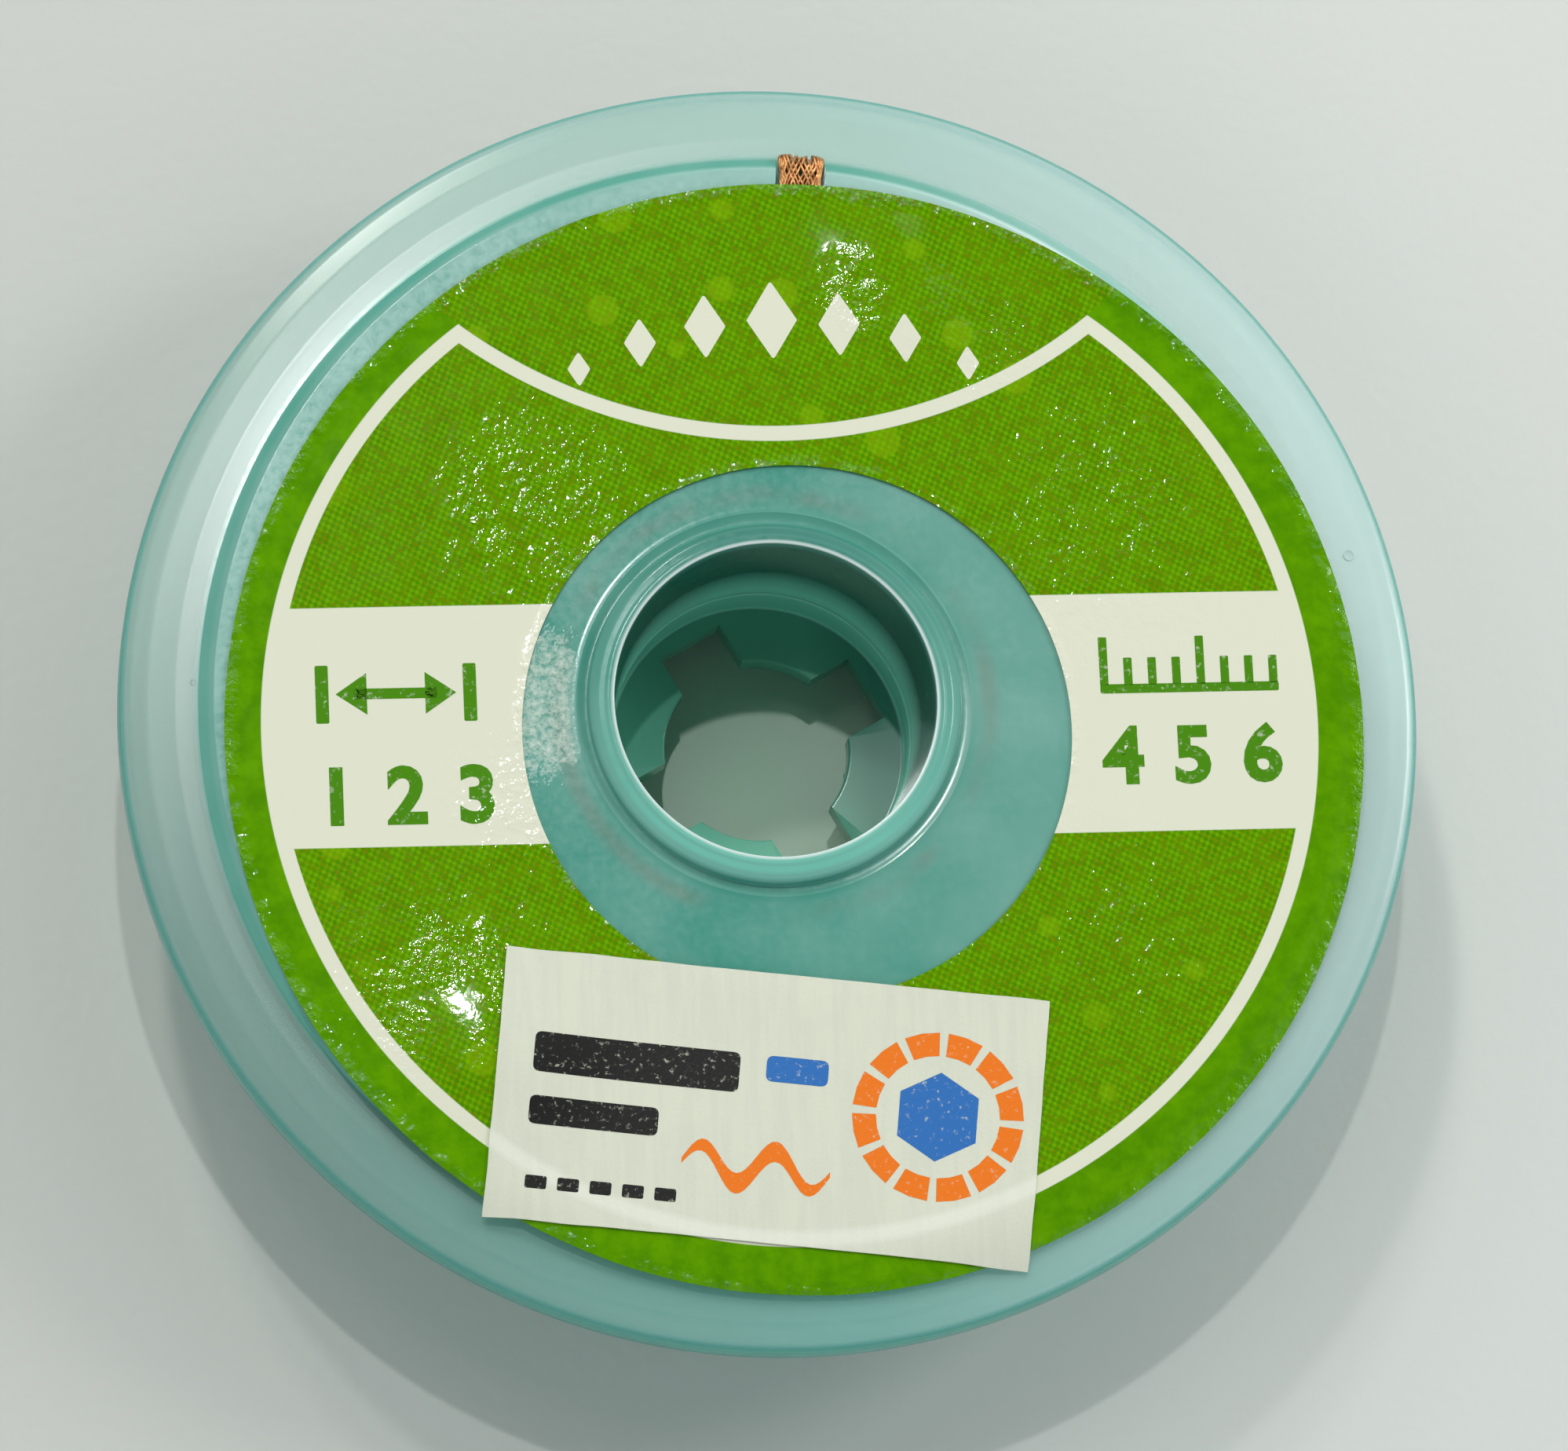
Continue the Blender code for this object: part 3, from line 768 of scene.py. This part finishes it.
def copper_material():
    """Bright fluxed copper wire with darker, rougher tarnish in places."""
    g = Graph("copper_braid")
    place = g.place()
    tarnish = g.ramp(g.noise(place, 3.2, 4.0, 0.65), 0.45, 0.68)
    g.feed(g.shader.inputs["Base Color"], g.mix(tarnish, COPPER, COPPER_DARK))
    g.shader.inputs["Metallic"].default_value = 0.8
    g.feed(g.shader.inputs["Roughness"], g.ramp(tarnish, 0.0, 1.0, 0.3, 0.5))
    g.feed(g.shader.inputs["Normal"], g.bump(g.noise(place, 18.0, 2.0), 0.006 * MM))
    return g.material


def table_material():
    """Pale matt table, with painted shade towards the west and painted light under the bore."""
    g = Graph("pale_table")
    place = g.place()
    colour = g.mix(g.ramp(g.noise(place, 0.02, 2.0), 0.3, 0.7, 0.0, 0.5), TABLE_TOP, TABLE_CLOUD)
    x, y, _ = g.split(place)
    # Painted shade: darker towards the west
    colour = g.mix(g.ramp(x, 30.0, -40.0, 0.0, 0.8), colour, TABLE_WEST_SHADE)
    # Painted light: paler and greener on the table under the bore
    colour = g.mix(g.ramp(g.radius(x, y), 7.5, 5.0), colour, TABLE_BORE_LIGHT)
    g.feed(g.shader.inputs["Base Color"], colour)
    g.shader.inputs["Roughness"].default_value = 0.55
    g.feed(g.shader.inputs["Normal"], g.bump(g.noise(place, 1.6, 1.0), 0.02 * MM))
    return g.material


# Pieces

def make_front(plastic):
    """Collar, crown, brim, lip and hub tube, with the slot cut through."""
    corners = [
        (BORE_R, RIM_Z, 0.07), (BORE_R + 0.3, RIM_Z, 0.15), (BORE_R + 0.42, RIM_Z - 0.07, 0.05),
        (TUBE_R - 0.35, RIM_Z - 0.10, 0.25), (TUBE_R, CROWN_Z + 0.35, 0.25), (TUBE_R + 0.04, CROWN_Z, 0.06),
        (RIDGE_R - 0.15, CROWN_Z, 0.0), (RIDGE_R, CROWN_Z + RIDGE_H, 0.05), (RIDGE_R + 0.25, CROWN_Z, 0.0),
        (CROWN_R, CROWN_Z, 0.12), (CROWN_FOOT_R, BRIM_Z, 0.18), (CROWN_FOOT_R + 1.0, BRIM_Z - 0.02, 2.0),
        (BRIM_R - 1.2, BRIM_Z - 0.13, 2.0), (BRIM_R - 0.4, BRIM_Z - 0.29, 0.8),
        (BRIM_R - 0.08, BRIM_Z - 0.5, 0.3), (BRIM_R, BRIM_Z - 0.85, 0.3),
        (BRIM_R, LIP_BOTTOM_Z, 0.12), (BRIM_R - 0.2, LIP_BOTTOM_Z, 0.12),
        (BRIM_R - 0.5, BRIM_UNDER_Z - 0.28, 0.6), (BRIM_R - 1.2, BRIM_UNDER_Z - 0.12, 1.6),
        (BRIM_R - 2.4, BRIM_UNDER_Z - 0.01, 1.6), (DRUM_INNER_R + 0.1, BRIM_UNDER_Z, 0.08),
        (DRUM_INNER_R, CROWN_UNDER_Z, 0.1), (TUBE_R, CROWN_UNDER_Z, 0.15), (TUBE_R, TUBE_BOTTOM_Z, 0.08),
        (TUBE_END_R, TUBE_BOTTOM_Z, 0.08),
    ]
    front = turned("front_moulding", rounded(corners))
    turn = EXIT_ANGLE - 90
    half = SLOT_W / 2
    cut(front, (-half, SLOT_INNER_R, BRIM_UNDER_Z - 0.5), (half, SILL_R, RIM_Z + 1), turn)
    cut(front, (-half, SILL_R - 0.12, SLOT_FLOOR_Z), (half, CROWN_FOOT_R + 0.12, RIM_Z + 1), turn)
    smooth(front)
    front.data.materials.append(plastic)
    finish_piece(front, "mint_plastic", "front_half")


def make_moulding_marks(plastic):
    """The little round mark that an ejector pin left on the brim, and the gate's nick by the crown."""
    made = bmesh.new()
    z = BRIM_Z - 0.02
    steps = 28
    for x, y, size, wide in MARKS:
        ring = []
        for i in range(steps):
            angle = 2 * math.pi * i / steps
            loop = []
            for k in range(6):
                round_it = 2 * math.pi * k / 6
                out = size + wide * math.cos(round_it) / 2
                loop.append(made.verts.new((x + out * math.cos(angle), y + out * math.sin(angle),
                                            z + MARK_H * math.sin(round_it))))
            ring.append(loop)
        for i in range(steps):
            first, second = ring[i], ring[(i + 1) % steps]
            for k in range(6):
                made.faces.new((first[k], first[(k + 1) % 6], second[(k + 1) % 6], second[k]))
    bmesh.ops.recalc_face_normals(made, faces=made.faces)
    marks = new_object("moulding_marks", made)
    smooth(marks, 60)
    marks.data.materials.append(plastic)
    finish_piece(marks, "mint_plastic")


def make_back(plastic):
    """Socket, back plate, drum wall and the snap ring with its four tabs."""
    drum_top = BRIM_UNDER_Z - 0.3
    foot_in = DRUM_R - FOOT_W
    corners = [
        (SOCKET_R, SOCKET_TOP_Z, 0.1), (SOCKET_OUTER_R, SOCKET_TOP_Z, 0.1),
        (SOCKET_OUTER_R, PLATE_TOP_Z, 0.2),
        (DRUM_INNER_R, PLATE_TOP_Z, 0.2), (DRUM_INNER_R, drum_top, 0.1), (DRUM_R, drum_top, 0.1),
        (DRUM_R, 0.0, 0.45), (foot_in, 0.0, 0.1), (foot_in - 0.15, FOOT_H, 0.1),
        (HUB_FOOT_R + HUB_FOOT_W + 0.15, FOOT_H, 0.1), (HUB_FOOT_R + HUB_FOOT_W, 0.0, 0.1),
        (HUB_FOOT_R, 0.0, 0.1), (HUB_FOOT_R, SNAP_BOTTOM_Z, 0.15), (TAB_R, SNAP_BOTTOM_Z, 0.08),
        (TAB_R, SNAP_TOP_Z, 0.12), (TUBE_END_R, SNAP_TOP_Z, 0.15), (TUBE_END_R, SOCKET_FLOOR_Z, 0.1),
        (SOCKET_R, SOCKET_FLOOR_Z, 0.1),
    ]
    back = turned("back_moulding", rounded(corners))
    notch_low = (-NOTCH_R, -NOTCH_W / 2, SNAP_BOTTOM_Z - 0.5)
    notch_high = (NOTCH_R, NOTCH_W / 2, SNAP_TOP_Z + 0.5)
    for i in range(2):
        cut(back, notch_low, notch_high, NOTCH_ANGLE + 90 * i)
    smooth(back)
    back.data.materials.append(plastic)
    finish_piece(back, "mint_plastic", "back_half")


def make_coil(copper):
    """The wound braid: rounded turns on both ends and rounded layers on the outside."""
    corners = []
    groove = 0.14
    for i in range(TURNS):
        corners.append((COIL_R + i * TURN_PITCH, COIL_TOP_Z - groove, 0.0))
        corners.append((COIL_R + (i + 0.5) * TURN_PITCH, COIL_TOP_Z + 0.02, 0.2))
    for i in range(LAYERS):
        corners.append((COIL_OUTER_R, COIL_TOP_Z - i * LAYER_PITCH - groove, 0.1))
        corners.append((COIL_OUTER_R, COIL_TOP_Z - (i + 1) * LAYER_PITCH + groove, 0.1))
        if i < LAYERS - 1:
            corners.append((COIL_OUTER_R - groove, COIL_TOP_Z - (i + 1) * LAYER_PITCH, 0.0))
    for i in reversed(range(TURNS)):
        corners.append((COIL_R + (i + 0.5) * TURN_PITCH, COIL_BOTTOM_Z, 0.2))
        corners.append((COIL_R + i * TURN_PITCH, COIL_BOTTOM_Z + groove, 0.0))
    coil = turned("coil", rounded(corners, 3), 160)
    smooth(coil, 60)
    coil.data.materials.append(copper)
    finish_piece(coil, "copper_braid", "braid")


def tail_route():
    """Stations of the braid's free end: degrees from the slot, radius, height, how far on edge."""
    on_coil = COIL_OUTER_R - TURN_PITCH / 2
    standing = COIL_TOP_Z - LAYER_PITCH / 2
    flat = CROWN_UNDER_Z - 0.3 - 0.4
    reach = SLOT_INNER_R - on_coil
    return [
        (-122, on_coil, standing, 90), (-104, on_coil + 0.10 * reach, standing, 90),
        (-82, on_coil + 0.24 * reach, standing, 90), (-58, on_coil + 0.42 * reach, standing, 78),
        (-34, on_coil + 0.60 * reach, (standing + flat) / 2, 48),
        (-14, on_coil + 0.76 * reach, flat - 0.1, 16), (-3, on_coil + 0.89 * reach, flat, 2),
        (0, SLOT_INNER_R, flat + 0.1, 0), (0, SILL_R - 1.1, (flat + TAIL_Z) / 2, 0),
        (0, SILL_R - 0.35, TAIL_Z, 0), (0, SILL_R + 0.3, TAIL_Z + 0.02, 0),
        (0, TAIL_END_R - 0.3, TAIL_Z + 0.03, 0),
        (0, TAIL_END_R - 0.08, TAIL_Z - 0.05, 0), (0, TAIL_END_R, TAIL_Z - 0.2, 0),
    ]


def smooth_route(stations, parts):
    """Catmull-Rom curve through the stations."""
    points = []
    for i in range(len(stations) - 1):
        a, b = stations[max(i - 1, 0)], stations[i]
        c, d = stations[i + 1], stations[min(i + 2, len(stations) - 1)]
        for k in range(parts):
            t = k / parts
            points.append((b * 2 + (c - a) * t + (a * 2 - b * 5 + c * 4 - d) * t * t
                           + (b * 3 - a - c * 3 + d) * t ** 3) / 2)
    points.append(stations[-1])
    return points


# The braid's weave: bundles of wires each way, the length of one turn round the flattened tube, how
# far apart a bundle's wires lie, how high they pass over each other, how flat the tube is, how its
# two edges pinch, and how narrow it is before its cut end spreads
CARRIERS = 8
WIRES = 3
WIRE_R = 0.07
WIRE_SIDES = 5
LAY = 11.0
WIRE_STEP = 0.27
OVER_H = 0.045
FLATNESS = 0.45
EDGE_PINCH = 0.55
PINCH_RISE = 4.0
BODY_SPREAD = 0.89
SPREAD_L = 0.9
ROUTE_PARTS = 14


def tail_frames():
    """Middle, width and thickness directions, and distance along, at each point of the tail."""
    stations = []
    for degrees, radius, height, tip in tail_route():
        angle = math.radians(EXIT_ANGLE + degrees)
        stations.append(Vector((radius * math.cos(angle), radius * math.sin(angle), height, tip)))
    route = smooth_route(stations, ROUTE_PARTS)
    frames = []
    travelled = 0.0
    for i, station in enumerate(route):
        ahead = (route[min(i + 1, len(route) - 1)] - route[max(i - 1, 0)]).to_3d().normalized()
        across = ahead.cross(Vector((0, 0, 1))).normalized()
        up = across.cross(ahead)
        tip = math.radians(station[3])
        wide = across * math.cos(tip) + up * math.sin(tip)
        thick = up * math.cos(tip) - across * math.sin(tip)
        if i:
            travelled += (station.to_3d() - route[i - 1].to_3d()).length
        frames.append((station.to_3d(), wide, thick, travelled))
    return frames


def wire_centre(at, length, way, carrier, wire):
    """Where one wire runs at a point of the tail: round the flattened tube, over and under others."""
    middle, wide, thick, run = at
    phase = 2 * math.pi * (carrier + (wire - 1) * WIRE_STEP) / CARRIERS
    around = way * 2 * math.pi * run / LAY + phase
    over = math.cos(CARRIERS * 2 * math.pi * run / LAY + (carrier % 2) * math.pi)
    s = math.sin(around)
    c = math.cos(around)
    flat_c = math.copysign(abs(c) ** FLATNESS, c)
    pinch = 1 - EDGE_PINCH * math.exp(-(s * PINCH_RISE) ** 2)
    spread = BODY_SPREAD + (1 - BODY_SPREAD) * math.exp(-((length - run) / SPREAD_L) ** 2)
    u = (BRAID_W / 2 - WIRE_R) * s * spread
    v = (BRAID_T / 2 - WIRE_R) * flat_c * pinch + OVER_H * over * way * math.copysign(1, c)
    return middle + wide * u + thick * v


def wire_section(made, centre, wide, thick):
    section = []
    for k in range(WIRE_SIDES):
        angle = 2 * math.pi * k / WIRE_SIDES
        section.append(made.verts.new(centre + (wide * math.cos(angle) + thick * math.sin(angle)) * WIRE_R))
    return section


def skin_wire(made, sections):
    """Faces between a wire's sections, and over its two ends."""
    for first, second in zip(sections, sections[1:]):
        for k in range(WIRE_SIDES):
            j = (k + 1) % WIRE_SIDES
            made.faces.new((first[k], first[j], second[j], second[k]))
    made.faces.new(sections[0])
    made.faces.new(sections[-1])


def make_tail(copper):
    """The free end as a flattened tube of wires, half of them wound each way and passing over and
    under each other."""
    frames = tail_frames()
    length = frames[-1][3]
    made = bmesh.new()
    for way in (1, -1):
        for carrier in range(CARRIERS):
            for wire in range(WIRES):
                sections = []
                for at in frames:
                    centre = wire_centre(at, length, way, carrier, wire)
                    sections.append(wire_section(made, centre, at[1], at[2]))
                skin_wire(made, sections)
    bmesh.ops.recalc_face_normals(made, faces=made.faces)
    tail = new_object("braid_tail", made)
    smooth(tail, 80)
    tail.data.materials.append(copper)
    finish_piece(tail, "copper_braid", "braid")


def make_label(film):
    """The ring label as a thin sheet, with a slightly uneven outer edge."""
    rows = []
    steps, across = 360, 40
    for i in range(steps):
        angle = 2 * math.pi * i / steps
        row = []
        for k in range(across + 1):
            r = LABEL_INNER_R + (LABEL_OUTER_R - LABEL_INNER_R) * k / across
            if k == across:
                r += 0.02 * noise.noise(Vector((math.cos(angle) * 9, math.sin(angle) * 9, 2.0)))
            row.append((r * math.cos(angle), r * math.sin(angle)))
        rows.append(row)
    label = sheet_from_grid("face_label_film", rows, label_point, film_height, FILM_T, True)
    smooth(label)
    label.data.materials.append(film)
    finish_piece(label, "green_label", "face_label")


def make_label_figures(ink):
    """Plain figures and a ruled scale on the white bands, where the label has its printing."""
    made = bmesh.new()
    # Left: two posts with a double arrow between them over a row of figures
    for x in (-20.2, -14.0):
        add_bar(made, x, 0.7, 0.55, 2.5, 0.08)
    add_bar(made, -18.6, 1.72, 3.5, 0.46, 0.05)
    for tip, way in ((-19.35, 1), (-14.3, -1)):
        add_outline(made, [(tip, 1.95), (tip + way * 1.3, 1.05), (tip + way * 1.3, 2.85)])
    add_text(made, "1 2 3", -20.3, -3.6, 2.35)
    # Right: a ruled scale over a row of figures
    add_bar(made, 12.9, 1.35, 7.6, 0.4, 0.08)
    for i in range(8):
        add_bar(made, 12.9 + i * 1.03, 1.7, 0.36, 2.1 if i % 4 == 0 else 1.2, 0.05)
    add_text(made, "4 5 6", 12.9, -2.5, 2.35)
    figures = laid_ink("label_figures", made, label_point, film_top)
    figures.data.materials.append(ink)
    finish_piece(figures, "green_label")


def make_label_lozenges(ink):
    """A row of plain lozenges on the open panel at the label's top, the largest in the middle."""
    each_side = 3
    row_r = 17.9
    degrees_apart = 9.2
    largest = 1.75
    smaller = 0.32
    slimness = 0.62
    made = bmesh.new()
    for i in range(-each_side, each_side + 1):
        size = largest - smaller * abs(i)
        half = size * slimness
        x, y = round_point((-0.3, 0.1), row_r, 90 - degrees_apart * i)
        corners = [(x - half, y, 0.1), (x, y - size, 0.1), (x + half, y, 0.1), (x, y + size, 0.1)]
        add_outline(made, rounded(corners, 3))
    lozenges = laid_ink("label_lozenges", made, label_point, film_top)
    lozenges.data.materials.append(ink)
    finish_piece(lozenges, "green_label")


def make_sticker(paper):
    """Hand-cut paper with slightly uneven edges."""
    rows = []
    along, across = 90, 44
    for i in range(along + 1):
        row = []
        for k in range(across + 1):
            u = STICKER_W * (i / along - 0.5)
            v = STICKER_H * (k / across - 0.5)
            u += 0.03 * noise.noise(Vector((v / 1.5, 3.0, 0.0))) * (2 * i / along - 1)
            v += 0.04 * noise.noise(Vector((u / 2.2, 7.0, 0.0))) * (2 * k / across - 1)
            row.append((u, v))
        rows.append(row)
    sticker = sheet_from_grid("sticker_paper", rows, sticker_point, sticker_height, STICKER_T, False)
    smooth(sticker)
    sticker.data.materials.append(paper)
    finish_piece(sticker, "white_paper", "paper_sticker")


EMBLEM_AT = (7.1, 0.3)


def make_sticker_bars(ink):
    """Two bars and a row of dashes at the left, where the sticker has its printing."""
    made = bmesh.new()
    add_bar(made, -9.9, 0.5, 8.6, 1.7, 0.3)
    add_bar(made, -9.9, -1.7, 5.4, 1.2, 0.3)
    for i in range(5):
        add_bar(made, -9.8 + i * 1.35, -4.4, 0.9, 0.55, 0.1)
    bars = laid_ink("sticker_bars", made, sticker_point, sticker_top)
    bars.data.materials.append(ink)
    finish_piece(bars, "white_paper")


def make_sticker_accents(ink):
    """A tapered wave in the middle, and a broken ring at the right."""
    made = bmesh.new()
    steps = 32
    wave_top, wave_bottom = [], []
    for i in range(steps + 1):
        x = -3.4 + 6.2 * i / steps
        y = -2.6 + 0.75 * math.sin(4 * math.pi * i / steps)
        half = 0.10 + 0.36 * math.sin(math.pi * (i + 0.6) / (steps + 1.2))
        wave_top.append((x, y + half))
        wave_bottom.append((x, y - half))
    add_outline(made, wave_bottom + wave_top[::-1])
    sectors = 12
    for i in range(sectors):
        middle = 360 / sectors * (i + 0.5)
        spread = (middle - 12, middle, middle + 12)
        outer = [round_point(EMBLEM_AT, 3.6, degrees) for degrees in spread]
        inner = [round_point(EMBLEM_AT, 2.6, degrees) for degrees in spread]
        add_outline(made, outer + inner[::-1])
    accents = laid_ink("sticker_accents", made, sticker_point, sticker_top)
    accents.data.materials.append(ink)
    finish_piece(accents, "white_paper")


def make_sticker_hexagon(ink):
    """The hexagon in the broken ring, and a short bar in the middle."""
    made = bmesh.new()
    add_outline(made, [round_point(EMBLEM_AT, 1.9, 60 * i + 30) for i in range(6)])
    add_bar(made, -0.2, 1.1, 2.6, 1.1, 0.3)
    hexagon = laid_ink("sticker_hexagon", made, sticker_point, sticker_top)
    hexagon.data.materials.append(ink)
    finish_piece(hexagon, "white_paper")


# Floor, camera and lights

def make_stage():
    made = bmesh.new()
    bmesh.ops.create_grid(made, x_segments=2, y_segments=2, size=700.0)
    floor = new_object("table", made)
    floor.data.materials.append(table_material())


def add_camera():
    data = bpy.data.cameras.new("camera")
    data.sensor_width = SENSOR_W
    data.lens = FRAME_FOCAL / FRAME_W * data.sensor_width
    data.clip_start = 0.01
    data.clip_end = 10.0
    camera = bpy.data.objects.new("camera", data)
    south = Matrix.Rotation(math.radians(CAMERA_SOUTH), 3, "X")
    west = Matrix.Rotation(math.radians(-CAMERA_WEST), 3, "Y")
    camera.matrix_world = Matrix.Translation(Vector(CAMERA_AT) * MM) @ (south @ west).to_4x4()
    bpy.context.scene.collection.objects.link(camera)
    bpy.context.scene.camera = camera


# Sky: strength near the horizon and overhead, and between which heights it fades
SKY_LOW = 0.97
SKY_HIGH = 0.05
SKY_LOW_Z = 0.60
SKY_HIGH_Z = 0.90
SKY_COLOUR = (0.885, 0.955, 1.0, 1.0)

WHITE_LIGHT = (1.0, 1.0, 1.0)
WARM_LIGHT = (1.0, 0.97, 0.90)

# Name, direction from the spool, distance and size in metres, watts and colour
LAMPS = (
    ("key", (-0.196, 0.70, 0.686), 1.1, 0.10, 1.08, WARM_LIGHT),
    ("key_upper", (-0.21, 0.60, 0.77), 1.1, 0.07, 1.70, WARM_LIGHT),
    ("side", (0.75, 0.22, 0.62), 0.55, 0.16, 0.60, (1.0, 1.0, 0.98)),
    ("window", (0.36, 0.56, 0.75), 1.2, 0.62, 0.8, (0.97, 1.0, 1.0)),
    ("overhead", (-0.26, 0.34, 0.90), 0.9, 0.28, 0.5, WHITE_LIGHT),
    ("spark", (-0.05, 0.34, 0.94), 0.82, 0.02, 1.1, WHITE_LIGHT),
)


def add_lamp(name, toward, distance, size, watts, colour):
    """A soft round lamp that stands in a direction from the spool and faces it."""
    data = bpy.data.lights.new(name, "AREA")
    data.shape = "DISK"
    data.size = size
    data.energy = watts
    data.color = colour
    lamp = bpy.data.objects.new(name, data)
    direction = Vector(toward).normalized()
    lamp.location = direction * distance
    lamp.rotation_euler = direction.to_track_quat("Z", "Y").to_euler()
    bpy.context.scene.collection.objects.link(lamp)


def add_sky():
    """A plain pale room: bright near the horizon and dim overhead, so that gloss stays deep."""
    world = bpy.data.worlds.new("world")
    world.use_nodes = True
    nodes, links = world.node_tree.nodes, world.node_tree.links
    split = nodes.new("ShaderNodeSeparateXYZ")
    links.new(nodes.new("ShaderNodeTexCoord").outputs["Generated"], split.inputs[0])
    ramp = nodes.new("ShaderNodeMapRange")
    ramp.inputs["From Min"].default_value = SKY_LOW_Z
    ramp.inputs["From Max"].default_value = SKY_HIGH_Z
    ramp.inputs["To Min"].default_value = SKY_LOW
    ramp.inputs["To Max"].default_value = SKY_HIGH
    links.new(split.outputs["Z"], ramp.inputs["Value"])
    background = nodes["Background"]
    background.inputs["Color"].default_value = SKY_COLOUR
    links.new(ramp.outputs["Result"], background.inputs["Strength"])
    bpy.context.scene.world = world


def add_lights():
    for lamp in LAMPS:
        add_lamp(*lamp)
    add_sky()


def main():
    bpy.context.scene.view_settings.view_transform = "Standard"
    plastic = plastic_material()
    copper = copper_material()
    make_front(plastic)
    make_moulding_marks(plastic)
    make_back(plastic)
    make_coil(copper)
    make_tail(copper)
    make_label(label_material())
    make_label_figures(ink_material("green_ink", INK_GREEN, 0.02, True))
    make_label_lozenges(ink_material("white_ink", LABEL_WHITE, 0.1, True))
    make_sticker(paper_material())
    make_sticker_bars(ink_material("black_ink", INK_BLACK, 0.02, False))
    make_sticker_accents(ink_material("orange_ink", INK_ORANGE, 0.04, False))
    make_sticker_hexagon(ink_material("blue_ink", INK_BLUE, 0.03, False))
    make_stage()
    add_camera()
    add_lights()


main()
